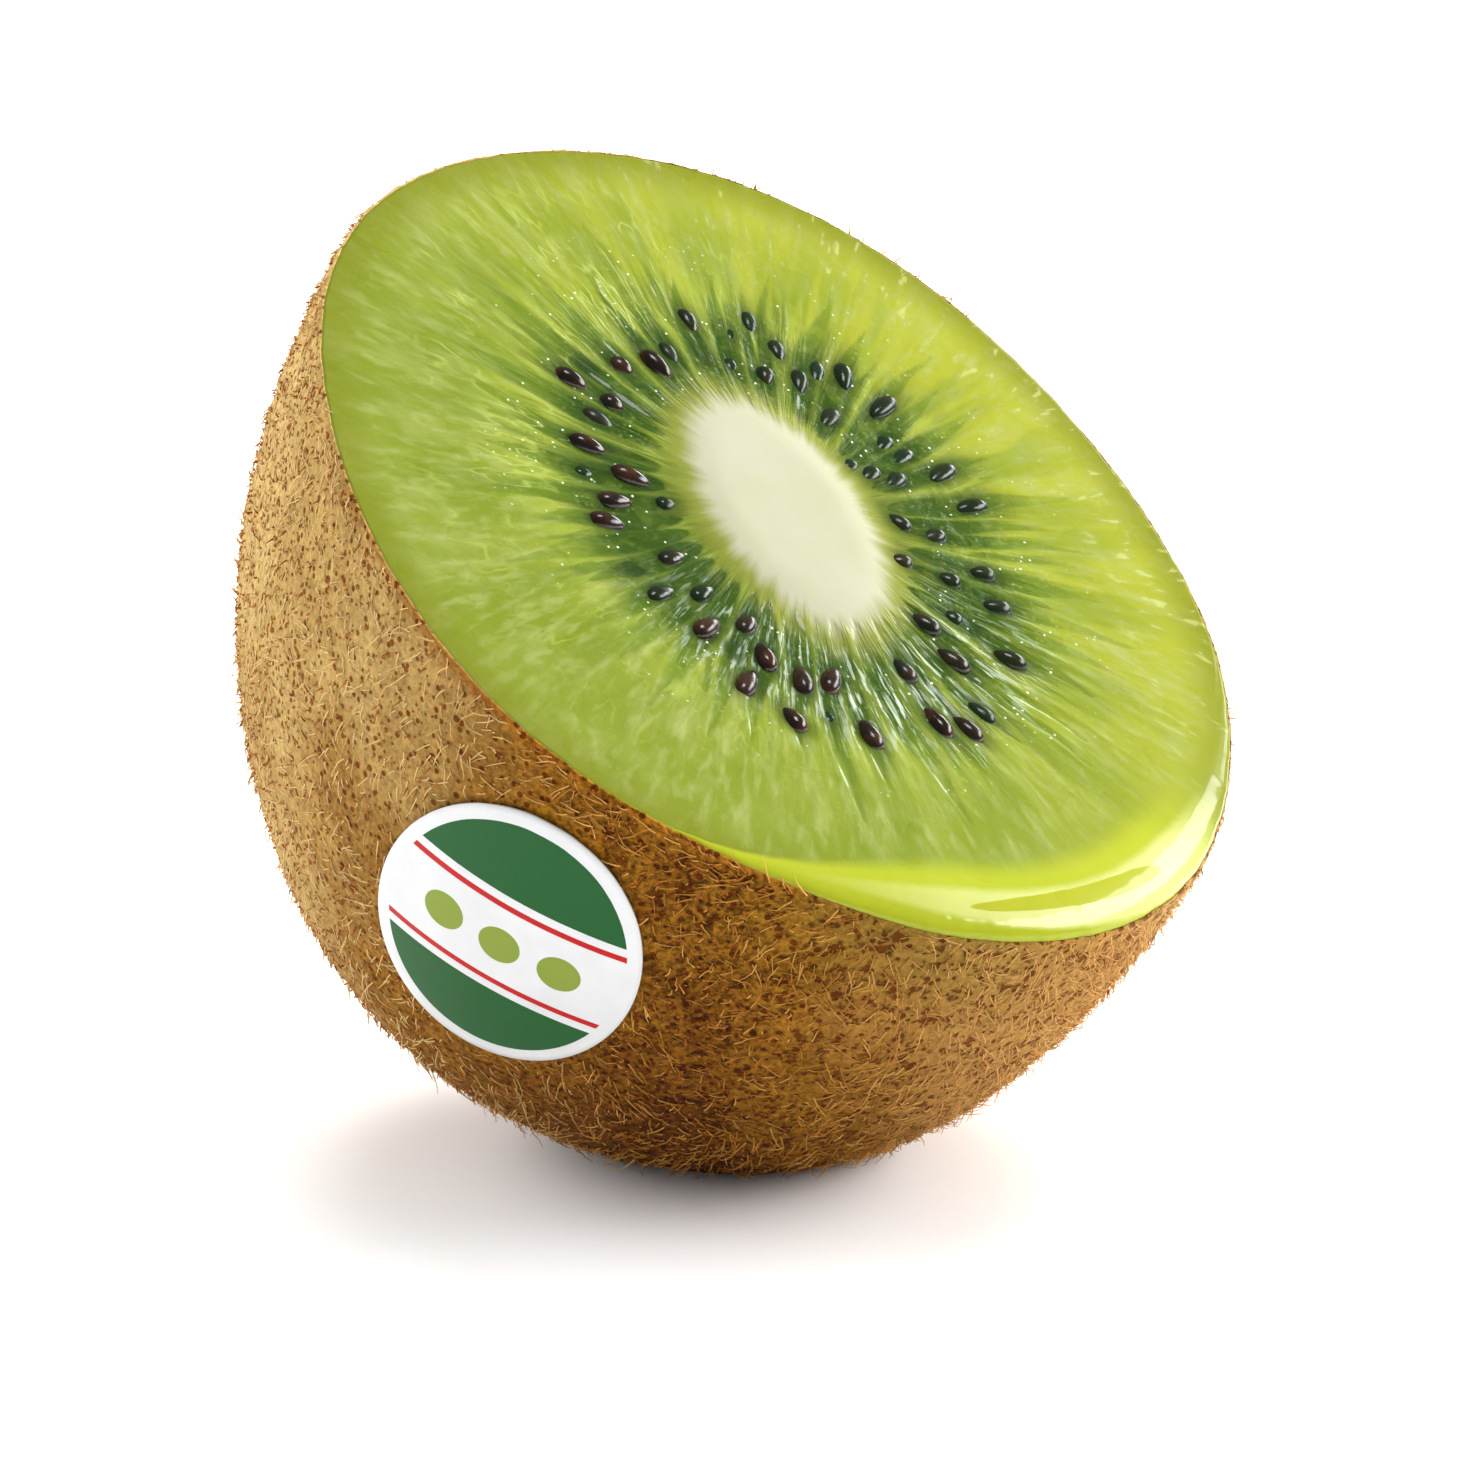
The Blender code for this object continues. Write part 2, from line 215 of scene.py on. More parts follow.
class Net:
    # adds nodes to a tree; values are numbers, colours or the outputs of other nodes
    def __init__(self, tree):
        self.tree = tree
        self.link = tree.links.new

    def fill(self, node, values):
        for key, value in values.items():
            socket = node.inputs[key]
            if isinstance(value, bpy.types.NodeSocket):
                self.link(value, socket)
            else:
                socket.default_value = (*value, 1.0) if socket.type == "RGBA" else value

    def node(self, kind, *values, **settings):
        # values by input in order, or one dictionary of them by name
        node = self.tree.nodes.new(kind)
        for name, value in settings.items():
            setattr(node, name, value)
        named = values and isinstance(values[0], dict)
        self.fill(node, values[0] if named else dict(enumerate(values)))
        return node

    def add(self, kind, *values, **settings):
        return self.node(kind, *values, **settings).outputs[0]

    def math(self, operation, *values):
        return self.add("ShaderNodeMath", *values, operation=operation)

    def chain(self, operation, total, *others):
        for value in others:
            total = self.math(operation, total, value)
        return total

    def plus(self, *values):
        return self.chain("ADD", *values)

    def times(self, *values):
        return self.chain("MULTIPLY", *values)

    def minus(self, first, second):
        return self.math("SUBTRACT", first, second)

    def line(self, value, slope, rise):
        return self.math("MULTIPLY_ADD", value, slope, rise)

    def shaken(self, value, noise, amount):
        # the value moved evenly up and down by noise
        return self.plus(value, self.line(noise, amount, -0.5 * amount))

    def ramp(self, value, low, high, toLow=0.0, toHigh=1.0):
        return self.add("ShaderNodeMapRange", value, low, high, toLow, toHigh,
                        interpolation_type="SMOOTHSTEP")

    def where(self, *parts):
        # the product of its parts, each a mask or the values of a ramp
        return self.times(*(self.ramp(*part) if isinstance(part, tuple) else part
                            for part in parts))

    def mix(self, share, first, second, blend="MIX"):
        return self.node("ShaderNodeMix", {0: share, 6: first, 7: second}, data_type="RGBA",
                         blend_type=blend).outputs[2]

    def vector(self, operation, values):
        return self.add("ShaderNodeVectorMath", values, operation=operation)

    def noise(self, vector, scale, detail=3.0, rough=0.5, distort=0.0, output="Fac"):
        return self.node("ShaderNodeTexNoise",
                         {"Vector": vector, "Scale": scale, "Detail": detail,
                          "Roughness": rough, "Distortion": distort}).outputs[output]

    def cells(self, vector, scale):
        return self.add("ShaderNodeTexVoronoi", {"Vector": vector, "Scale": scale})

    def split(self, vector):
        return self.node("ShaderNodeSeparateXYZ", vector).outputs

    def mark(self, name, output="Fac"):
        return self.node("ShaderNodeAttribute", attribute_name=name).outputs[output]

    def place(self):
        return self.node("ShaderNodeTexCoord").outputs["Object"]

    def group(self, group, *values):
        return self.node("ShaderNodeGroup", *values, node_tree=group).outputs

    def bump(self, shader, height, strength, distance):
        self.fill(shader, {"Normal": self.add("ShaderNodeBump", {
            "Strength": strength, "Distance": distance, "Height": height})})


def newMaterial(name):
    material = bpy.data.materials.new(name)
    material.use_nodes = True
    return material, Net(material.node_tree), material.node_tree.nodes["Principled BSDF"]


def makeGroup(name, inputs, outputs, kind="ShaderNodeTree"):
    group = bpy.data.node_groups.new(name, kind)
    for way, sockets in (("INPUT", inputs), ("OUTPUT", outputs)):
        for socketName, socketKind in sockets.items():
            group.interface.new_socket(name=socketName, in_out=way,
                                       socket_type="NodeSocket" + socketKind)
    net = Net(group)
    return net, net.node("NodeGroupInput").outputs, net.node("NodeGroupOutput")


def makeMottleGroup():
    # soft patches with set limits, for skin, fuzz, flesh and paper alike
    net, entry, leave = makeGroup(
        "mottle", {"Vector": "Vector", "Scale": "Float", "Detail": "Float", "Low": "Float",
                   "High": "Float"}, {"Mask": "Float"})
    noise = net.noise(entry["Vector"], entry["Scale"], entry["Detail"])
    net.fill(leave, {"Mask": net.ramp(noise, entry["Low"], entry["High"])})
    return net.tree


def makeWetGroup():
    # the film of juice: small beads and ripples in the height, and patches of sharper gloss
    net, entry, leave = makeGroup(
        "wetFilm", {"Vector": "Vector", "Scale": "Float", "Dry": "Float", "Wet": "Float"},
        {"Height": "Float", "Roughness": "Float"})
    patch = net.noise(entry["Vector"], net.times(entry["Scale"], 0.22), 1.0)
    gloss = net.add("ShaderNodeMapRange", patch, 0.30, 0.70, entry["Dry"], entry["Wet"])
    film = net.noise(entry["Vector"], entry["Scale"], 3.0)
    net.fill(leave, {"Height": film, "Roughness": gloss})
    return net.tree


mottleGroup = makeMottleGroup()
wetGroup = makeWetGroup()
print("helpers ready")


def mottle(net, place, scale, detail, low, high):
    return net.group(mottleGroup, place, scale, detail, low, high)[0]


def wetFilm(net, place, scale, dry, wet):
    # its height and its roughness
    return net.group(wetGroup, place, scale, dry, wet)


# Seeds, where they lie in the soft ring
seedLook = {
    "width": 0.00054,           # half
    "thickness": 0.00044,       # half
    "taper": 0.22,
    "lift": -0.00013,           # middle of a bare seed over the cut
    "sink": 0.00042,            # how much lower a seed lies that is marked 1
    "buried": 0.75,             # seeds from this mark on show as stains only
    "around": 20,
    "steps": 12,
    "colour": (0.011, 0.005, 0.003),
    "edge": (0.040, 0.014, 0.004),
    "sunken": (0.007, 0.020, 0.006),
    # angle, distance in mm, turn from the radial way, length in mm, depth in the flesh
    "places": (
        (2, 11.6, 12, 2.4, 0.15), (4, 8.3, 10, 1.9, 0.3), (10, 7.2, 7, 1.7, 0.4),
        (11, 10.2, 1, 2.3, 0.5), (17, 10.1, 6, 1.8, 0.5), (18, 6.6, -6, 1.4, 0.6),
        (24, 12.5, -5, 2.4, 0.0), (34, 9.1, -10, 2.0, 0.3), (35, 12.9, 19, 2.1, 0.0),
        (41, 12.3, 7, 2.2, 0.5), (45, 10.9, 5, 2.0, 0.25), (51, 12.7, 13, 1.7, 0.4),
        (55, 10.3, -1, 1.5, 0.2), (57, 14.2, 5, 1.8, 0.5), (62, 12.8, -7, 1.6, 0.7),
        (65, 10.5, 2, 1.5, 0.7), (72, 10.7, 0, 1.4, 0.8), (72, 13.4, 7, 1.8, 0.3),
        (83, 11.1, 1, 1.7, 0.4), (90, 10.5, 11, 2.0, 0.0), (101, 11.0, 10, 1.4, 0.1),
        (111, 11.9, 16, 1.4, 0.8), (117, 9.8, 4, 1.4, 0.2), (118, 12.1, 4, 1.8, 0.0),
        (127, 10.0, -10, 1.9, 0.3), (140, 10.3, -7, 2.0, 0.0), (149, 8.2, -14, 2.1, 0.0),
        (151, 10.6, -6, 1.4, 0.7), (161, 6.7, -1, 1.3, 0.4), (161, 9.5, 0, 2.0, 0.1),
        (169, 10.6, -20, 1.9, 0.0), (185, 11.3, -6, 1.6, 0.8), (186, 8.5, -7, 1.9, 0.25),
        (194, 11.0, -10, 2.1, 0.3), (201, 8.9, -7, 1.9, 0.4), (208, 11.0, -15, 2.0, 0.0),
        (216, 11.5, 10, 1.5, 0.8), (217, 9.2, -11, 1.8, 0.2), (221, 13.3, -10, 2.3, 0.1),
        (224, 10.9, 24, 1.9, 0.0), (231, 14.7, 35, 1.7, 0.0), (234, 11.6, 6, 2.0, 0.1),
        (239, 13.6, 3, 1.7, 0.7), (242, 11.0, -25, 2.1, 0.1), (247, 14.4, 10, 2.0, 0.0),
        (265, 13.6, 2, 2.1, 0.0), (267, 10.2, 5, 1.7, 0.25), (271, 14.3, 11, 1.9, 0.15),
        (278, 13.7, 8, 1.8, 0.4), (285, 10.7, 10, 1.9, 0.0), (290, 8.5, 6, 1.7, 0.1),
        (299, 12.7, 8, 1.8, 0.0), (302, 9.3, 1, 1.3, 0.5), (302, 10.4, -11, 1.3, 0.8),
        (315, 11.3, 18, 1.7, 0.1), (317, 6.1, 14, 1.4, 0.3), (318, 8.7, -3, 1.4, 0.15),
        (326, 10.6, 10, 1.5, 0.0), (338, 8.4, 20, 1.6, 0.2), (343, 6.6, -45, 1.5, 0.2),
        (351, 11.9, 5, 2.2, 0.3)),
}


def seedPlaces():
    places = []
    for angle, away, turn, length, deep in seedLook["places"]:
        radial = math.radians(angle)
        flat = np.array([math.cos(radial), math.sin(radial)]) * away / 1000.0
        flat = flat + np.array(cutSize["ringMiddle"])
        places.append((flat, radial + math.radians(turn), length / 1000.0, deep))
    return places


allSeeds = seedPlaces()

# The cut flesh
fleshLook = {
    "around": 840,
    "rings": 92,
    "rollRings": 16,
    "skinThickness": 0.00014,   # skin that shows as a thin line round the flesh
    "wall": 0.0012,             # how far the flesh piece reaches down inside the skin
    "wallShare": 0.997,         # its foot's width
    "rayDepth": 0.00012,
    "fibreDepth": 0.00005,
    "pocketDepth": 0.00012,
    "wetStretch": (180.0, 85.0, 35.0),  # where the cut is wettest
    "chamberWidth": 0.00074,    # half
    "chamberStart": 0.60,       # as a share of the ring of seeds
    "chamberEnd": (1.30, 1.80),
    "rowGap": 4.5,              # degrees: seeds closer than this share a chamber
    "chamberGap": 9.5,          # degrees between chambers where there are no seeds
    "core": (0.364, 0.361, 0.263),
    "coreShade": (0.345, 0.344, 0.228),
    "coreRim": (0.215, 0.230, 0.036),
    "inner": (0.094, 0.122, 0.011),
    "ring": (0.072, 0.118, 0.011),
    "outer": (0.141, 0.186, 0.010),
    "outerCloud": (0.168, 0.210, 0.020),
    "outerPale": (0.269, 0.300, 0.090),
    # the flesh in painted light, to the right and the back
    "litSide": (0.279, 0.295, 0.019),
    "rim": (0.132, 0.150, 0.006),
    "well": (0.025, 0.059, 0.003),
    "wellEnd": (0.093, 0.146, 0.008),
    "deep": (0.013, 0.034, 0.004),
    "sunken": (0.008, 0.024, 0.004),
    "ray": (0.250, 0.300, 0.032),
    # pale colour of the painted highlights on the wet juice
    "paintedGlint": (0.420, 0.500, 0.370),
    "ridge": (0.310, 0.370, 0.080),
    # white of the painted sparkles
    "paintedSparkle": (0.800, 0.840, 0.700),
    # painted light on the rolled edge: the band a painted reflection, the slot the dark gap in
    # it, the strip painted light where the roll turns down
    "band": (0.440, 0.460, 0.150),
    "slot": (0.290, 0.310, 0.012),
    "strip": (0.335, 0.375, 0.014),
    # degrees round the rim: where the strip and the band start to show, and where both end
    "stripIn": (118.0, 150.0),
    "bandIn": (150.0, 192.0),
    "bandOut": (231.0, 212.0),
    "bandTop": 0.13,            # heights on the rolled edge, from the cut down
    "bandFoot": (0.0105, -1.33),  # how it drops with each degree, and its start
    "slotStretch": (195.5, 16.5),  # degrees of the slot's middle, and half its length
    "slotPlace": (0.098, 0.275),   # bend and height
    "slotWidth": (0.032, 0.108),   # growth along it, and half its width
}


def cutRelief(flat):
    # height of the cut face over its plane, and what the colours need to know
    core, _ = ovalShare(flat, cutSize["coreHalf"])
    ring, angle = ovalShare(flat, cutSize["ringRadius"])
    away = (ring - 1.0) * cutSize["ringRadius"][0]
    near, far = cutSize["coreFade"]
    height = cutSize["coreRise"] * (1.0 - smoothStep((core - near) / (far - near)))
    height = height - cutSize["ringDip"] * softHill(away, cutSize["ringWidth"])
    return height, core, ring, angle, away


def seedMarks(flat):
    # dark surroundings of each seed, and stains where seeds lie under the face
    halo = np.zeros(len(flat))
    sunk = np.zeros(len(flat))
    for place, heading, length, deep in allSeeds:
        way = np.array([math.cos(heading), math.sin(heading)])
        along = (flat - place) @ way
        side = (flat - place) @ np.array([-way[1], way[0]])
        away = np.hypot(along / (0.5 * length), side / seedLook["width"])
        halo = np.maximum(halo, softHill(away, 1.7) * (1.0 - 0.3 * deep))
        if deep >= seedLook["buried"]:
            stain = 1.0 - smoothStep((away - 0.80) / 0.35)
            sunk = np.maximum(sunk, (1.2 - deep) * stain)
    return halo, sunk


def chamberPlaces():
    # degrees of a chamber for every row of seeds, and of more where there are none
    angles = sorted(seed[0] for seed in seedLook["places"])
    rows = [[angles[0]]]
    for angle in angles[1:]:
        if angle - rows[-1][0] < fleshLook["rowGap"]:
            rows[-1].append(angle)
        else:
            rows.append([angle])
    middles = [sum(row) / len(row) for row in rows]
    places = []
    for here, there in zip(middles, middles[1:] + [middles[0] + 360.0]):
        count = max(1, round((there - here) / fleshLook["chamberGap"]))
        places += [here + (there - here) * step / count for step in range(count)]
    return places


def chamberMark(flat):
    # lens shapes that run outwards from the core, one for each chamber
    delta = flat - np.array(cutSize["ringMiddle"])
    away = np.hypot(delta[:, 0], delta[:, 1])
    ring, _ = ovalShare(flat, cutSize["ringRadius"])
    spread = latticeNoise(np.column_stack([delta, 0.0 * away]), 240.0, 17)
    angle = np.degrees(np.arctan2(delta[:, 1], delta[:, 0])) + 1.8 * spread
    places = chamberPlaces()
    start = fleshLook["chamberStart"]
    mark = np.zeros(len(flat))
    draw = random.Random(41)
    for i, middle in enumerate(places):
        after = places[(i + 1) % len(places)]
        gap = min((middle - places[i - 1]) % 360.0, (after - middle) % 360.0)
        narrow = 0.42 * math.radians(gap) * cutSize["ringRadius"][0]
        width = min(fleshLook["chamberWidth"] * draw.uniform(0.85, 1.2), narrow)
        end = draw.uniform(*fleshLook["chamberEnd"])
        strength = draw.uniform(0.7, 1.0)
        turn = np.radians(angle - middle)
        side = np.abs(away * np.sin(turn))
        run = np.clip((ring - start) / (end - start), 0.0, 1.0)
        half = width * np.sin(math.pi * run ** 0.6)
        share = smoothStep(1.5 - side / np.maximum(half, 1e-6))
        shown = (np.cos(turn) > 0.0) & (half > 1e-5)
        mark = np.maximum(mark, strength * np.where(shown, share, 0.0))
    return mark


def makeFleshMesh(material):
    look = fleshLook
    around = look["around"]
    angle = turnFull * np.arange(around) / around
    rolled = rollShare(angle)
    rim = skinPoint(angle, np.zeros(around))
    outline = rim[:, :2] * (1.0 - look["skinThickness"] / fruitSize["halfShort"])
    start = mixPair(rollSize["start"], rolled)
    rings, falls, shares, turns = [], [], [], []
    for ring in range(1, look["rings"] + 1):
        share = start * ring / look["rings"]
        rings.append(outline * share[:, None])
        falls.append(np.zeros(around))
        turns.append((share - start) / (1.0 - start))
        shares.append(share)
    for ring in range(1, look["rollRings"] + 1):
        turn = 0.5 * math.pi * ring / look["rollRings"]
        share = start + (1.0 - start) * math.sin(turn)
        rings.append(outline * share[:, None])
        falls.append(np.full(around, 1.0 - math.cos(turn)))
        turns.append(np.full(around, ring / look["rollRings"]))
        shares.append(share)
    flat = np.concatenate([np.zeros((1, 2)), *rings])
    fall = np.concatenate([[0.0], *falls])
    share = np.concatenate([[0.0], *shares])
    turned = np.concatenate([[-9.0], *turns])
    rimHeight = np.concatenate([[0.0], np.tile(rim[:, 2], len(rings))])
    angles = np.concatenate([[0.0], np.tile(angle, len(rings))])

    height, core, ring, ringAngle, away = cutRelief(flat)
    halo, sunk = seedMarks(flat)
    chamber = chamberMark(flat)
    spoke = np.stack([np.cos(ringAngle), np.sin(ringAngle), ring], axis=-1)
    offCore = smoothStep((core - 0.95) / 0.5)
    band = softHill(away, 1.5 * cutSize["ringWidth"])
    smooth = smoothStep(-turned / 1.2)
    rays = latticeNoise(spoke * np.array([12.0, 12.0, 1.4]), 1.0, 3)
    fine = latticeNoise(spoke * np.array([36.0, 36.0, 4.0]), 1.0, 5)
    grain = latticeNoise(np.column_stack([flat, 0.0 * share]), 1900.0, 7)
    height += smooth * offCore * (0.10 + 0.60 * band) * look["rayDepth"] * rays
    height += smooth * offCore * (0.25 + 0.75 * band) * look["fibreDepth"] * fine
    height += smooth * offCore * (0.25 + 0.75 * band) * 0.4 * look["fibreDepth"] * grain
    wet = 0.35 + 0.65 * stretchShare(angles, look["wetStretch"])
    torn = 0.65 + 0.35 * latticeNoise(np.column_stack([flat, 0.0 * share]), 1100.0, 9)
    height -= look["pocketDepth"] * wet * (0.5 * halo + 0.8 * chamber * torn)
    tall = rimHeight * fall + height * (1.0 - smoothStep(fall * 1.5))

    wall = np.column_stack([outline * look["wallShare"], rim[:, 2] - look["wall"]])
    points = np.concatenate([np.column_stack([flat, tall]), wall,
                             [[0.0, 0.0, -look["wall"]]]])
    last = len(points) - 1
    faces = [(0, 1 + i, 1 + (i + 1) % around) for i in range(around)]
    faces += ringFaces(len(rings) + 1, around, 1)
    base = 1 + len(rings) * around
    for i in range(around):
        faces.append((base + (i + 1) % around, base + i, last))
    extra = around + 1
    degrees = np.degrees(angles)
    marks = {
        "spoke": np.concatenate([spoke, np.tile([1.0, 0.0, 2.2], (extra, 1))]),
        "place": np.concatenate([np.column_stack([share, core, turned]),
                                 np.tile([1.0, 4.0, 1.0], (extra, 1))]),
        "stains": np.concatenate([np.column_stack([halo, chamber, sunk]),
                                  np.zeros((extra, 3))]),
        "degrees": np.concatenate([degrees, np.zeros(extra)]),
    }
    return makePiece("cutFlesh", toWorld(points), faces, material, marks)


def makeFleshMaterial():
    material, net, shader = newMaterial("kiwiFlesh")
    look = fleshLook
    place = net.place()
    right, back = net.split(place)[:2]
    spoke = net.mark("spoke", "Vector")
    ring = net.split(spoke)[2]
    cutShare, coreShare, turned = net.split(net.mark("place", "Vector"))
    halo, chamber, sunk = net.split(net.mark("stains", "Vector"))
    degrees = net.mark("degrees")

    def rays(across, along, detail, rough, distort=0.0):
        # noise drawn out along the rays
        stretched = net.vector("MULTIPLY", {0: spoke, 1: (across, across, along)})
        return net.noise(stretched, 1.0, detail, rough, distort)

    broad = rays(8.0, 0.8, 3.0, 0.55)
    fibre = rays(24.0, 2.6, 3.0, 0.55, 0.5)
    fine = rays(48.0, 8.5, 2.0, 0.5, 0.6)
    fleck = rays(40.0, 7.5, 2.0, 0.5, 0.35)
    tuft = rays(17.0, 3.4, 3.0, 0.55, 0.4)
    cloud = mottle(net, place, 190.0, 3.0, 0.32, 0.68)

    outer = net.mix(cloud, look["outer"], look["outerCloud"])
    # painted light: brighter to the right and the back, where the light comes from, and yellower
    # there
    litSide = net.plus(net.times(right, 26.0), net.times(back, 4.0))
    outer = net.mix(net.where((litSide, -0.35, 0.60), 0.8), outer, look["litSide"])
    flecks = net.plus(net.where((fleck, 0.46, 0.74), 0.50), net.where((tuft, 0.42, 0.74), 0.42))
    flecks = net.where(flecks, (turned, 0.0, -1.0, 0.3, 1.0))
    outer = net.mix(flecks, outer, look["outerPale"])
    lobes = net.where((broad, 0.56, 0.42), (ring, 2.3, 1.2), 0.52)
    outer = net.mix(lobes, outer, look["wellEnd"])
    outer = net.mix(net.where((cutShare, 0.88, 1.0), 0.75), outer, look["rim"])
    # short pale dashes of juice near the rim at the right
    dashes = net.where((fleck, 0.62, 0.70), (cutShare, 0.74, 0.86), (litSide, 0.15, 0.50), 0.42)
    outer = net.mix(dashes, outer, look["band"])

    # the ring of seeds is darker, with its edges ragged along the rays
    ragged = net.shaken(net.shaken(ring, fibre, 0.5), broad, 0.6)
    zone = net.where((ragged, 0.45, 0.75), (ragged, 1.42, 1.02))
    colour = net.mix(net.times(zone, 0.66), outer, look["ring"])
    colour = net.mix(net.ramp(ragged, 0.80, 0.50), colour, look["inner"])
    # green chambers, and pale walls between them
    edge = net.shaken(chamber, fibre, 0.7)
    well = net.mix(net.ramp(ring, 0.98, 1.28), look["well"], look["wellEnd"])
    lumps = net.noise(place, 950.0, 3.0, 0.6)
    inside = net.where((edge, 0.15, 0.75), (ring, 1.05, 1.70, 0.93, 0.38),
                       (lumps, 0.62, 0.46, 0.55, 1.0))
    colour = net.mix(inside, colour, well)
    walls = net.where((edge, 0.30, 0.0), (fibre, 0.42, 0.60), (ring, 0.52, 0.78, 0.3, 1.0),
                      (ring, 1.60, 1.15), (halo, 0.7, 0.2), 0.75)
    colour = net.mix(walls, colour, look["ray"])
    # painted highlights: pale streaks of wet juice catching the light, most of them towards the
    # front
    middle, reach, full = look["wetStretch"]
    front = net.where((degrees, middle - reach, middle - full),
                      (degrees, middle + reach, middle + full))
    paintedGlint = net.where((fine, 0.56, 0.65), (ring, 0.62, 0.80), (ring, 1.35, 1.05),
                    (halo, 0.75, 0.45), front, 0.75)
    colour = net.mix(paintedGlint, colour, look["paintedGlint"])
    glintStreaks = net.where((fibre, 0.55, 0.64), (ring, 0.66, 0.86), (ring, 1.45, 1.10),
                      (halo, 0.75, 0.30), (net.noise(place, 420.0, 2.0), 0.44, 0.56), front, 0.75)
    colour = net.mix(glintStreaks, colour, look["paintedGlint"])
    # small cells of juice, and thin wavy ridges at the left
    grains = net.where((net.cells(place, 2300.0), 0.34, 0.12),
                       (net.noise(place, 380.0, 2.0), 0.47, 0.60),
                       (ring, 0.60, 0.75), (ring, 2.20, 1.30), 0.28)
    colour = net.mix(grains, colour, look["ridge"])
    wave = rays(15.0, 3.2, 2.0, 0.45, 0.1)
    crest = net.math("ABSOLUTE", net.minus(wave, 0.5))
    ripple = net.where((crest, 0.045, 0.0), (net.noise(place, 240.0, 2.0), 0.48, 0.60),
                       (ring, 0.95, 1.15), (ring, 2.10, 1.60),
                       (net.minus(back, right), -0.010, 0.008))
    colour = net.mix(net.times(ripple, 0.55), colour, look["ridge"])
    colour = net.mix(net.times(halo, 0.80), colour, look["deep"])
    colour = net.mix(sunk, colour, look["sunken"])
    # painted highlights: small white sparkles on the wet ring of seeds
    sparkleSpots = net.where((net.cells(place, 2000.0), 0.17, 0.08),
                       (net.noise(place, 520.0, 2.0), 0.50, 0.58),
                       (ring, 0.60, 0.75), (ring, 1.70, 1.20), 0.85)
    colour = net.mix(sparkleSpots, colour, look["paintedSparkle"])

    coreEdge = net.shaken(net.shaken(coreShare, fibre, 0.10), broad, 0.34)
    coreMask = net.ramp(coreEdge, 1.05, 0.80)
    core = net.mix(cloud, look["core"], look["coreShade"])
    colour = net.mix(net.where((coreEdge, 1.26, 0.95), 0.68), colour, look["coreRim"])
    colour = net.mix(coreMask, colour, core)

    # the rolled edge: a yellow strip, painted light where the roll turns down; then a pale band,
    # a painted reflection of a window light; and a green slot in it, the painted dark gap in that
    # reflection
    strip = net.where((turned, -0.55, 0.0), (degrees, *look["stripIn"]),
                      (degrees, *look["bandOut"]), 0.75)
    colour = net.mix(strip, colour, look["strip"])
    top = net.minus(turned, look["bandTop"])
    foot = net.minus(net.line(degrees, *look["bandFoot"]), turned)
    along = net.where((degrees, *look["bandIn"]), (degrees, *look["bandOut"]))
    band = net.where((top, -0.07, 0.07), (foot, -0.08, 0.08), along)
    colour = net.mix(band, colour, look["band"])
    middle, reach = look["slotStretch"]
    aside = net.line(degrees, 1.0 / reach, -middle / reach)
    width = net.line(aside, *look["slotWidth"])
    aside = net.times(aside, aside)
    centre = net.line(aside, *look["slotPlace"])
    across = net.math("DIVIDE", net.minus(turned, centre), width)
    oval = net.plus(net.times(aside, aside), net.times(across, across))
    colour = net.mix(net.ramp(oval, 1.08, 0.90), colour, look["slot"])

    film, rough = wetFilm(net, place, 1500.0, 0.34, 0.24)
    height = net.plus(film, net.times(fibre, 0.6), net.times(fine, 0.3),
                      net.times(ripple, 0.7), net.times(lumps, zone, 1.2))
    wet = net.math("MAXIMUM", zone, net.ramp(turned, 0.1, -1.0, 0.05, 0.35))
    height = net.where(height, wet, (ring, 0.52, 0.80, 0.25, 1.0), (coreMask, 0.8, 0.1, 0.0, 1.0))
    net.bump(shader, height, 0.7, 0.00012)
    net.fill(shader, {
        "Base Color": colour, "Roughness": net.math("MAXIMUM", rough, net.times(coreMask, 0.5)),
        "Subsurface Weight": 0.20, "Subsurface Radius": (0.8, 1.0, 0.25),
        "Subsurface Scale": 0.0010, "IOR": 1.36, "Specular IOR Level": 0.10,
        "Coat Weight": 0.35, "Coat Roughness": 0.07})
    return material


cutFlesh = makeFleshMesh(makeFleshMaterial())
print("flesh done:", len(cutFlesh.data.polygons), "faces")


def makeSeedMaterial():
    material, net, shader = newMaterial("seedShell")
    place = net.place()
    patch = mottle(net, place, 900.0, 3.0, 0.42, 0.66)
    colour = net.mix(patch, seedLook["colour"], seedLook["edge"])
    # greener and duller where a seed lies deep, and to the right
    deep = net.math("MAXIMUM", net.ramp(net.mark("deep"), 0.05, 0.5),
                    net.where((net.split(place)[0], 0.0, 0.009), 0.8))
    colour = net.mix(deep, colour, seedLook["sunken"])
    film, rough = wetFilm(net, place, 2600.0, 0.32, 0.12)
    net.bump(shader, film, 0.45, 0.00008)
    net.fill(shader, {
        "Base Color": colour, "Roughness": rough, "Specular IOR Level": 0.2,
        "Coat Weight": net.ramp(deep, 0.0, 1.0, 0.50, 0.20), "Coat Roughness": 0.12})
    return material


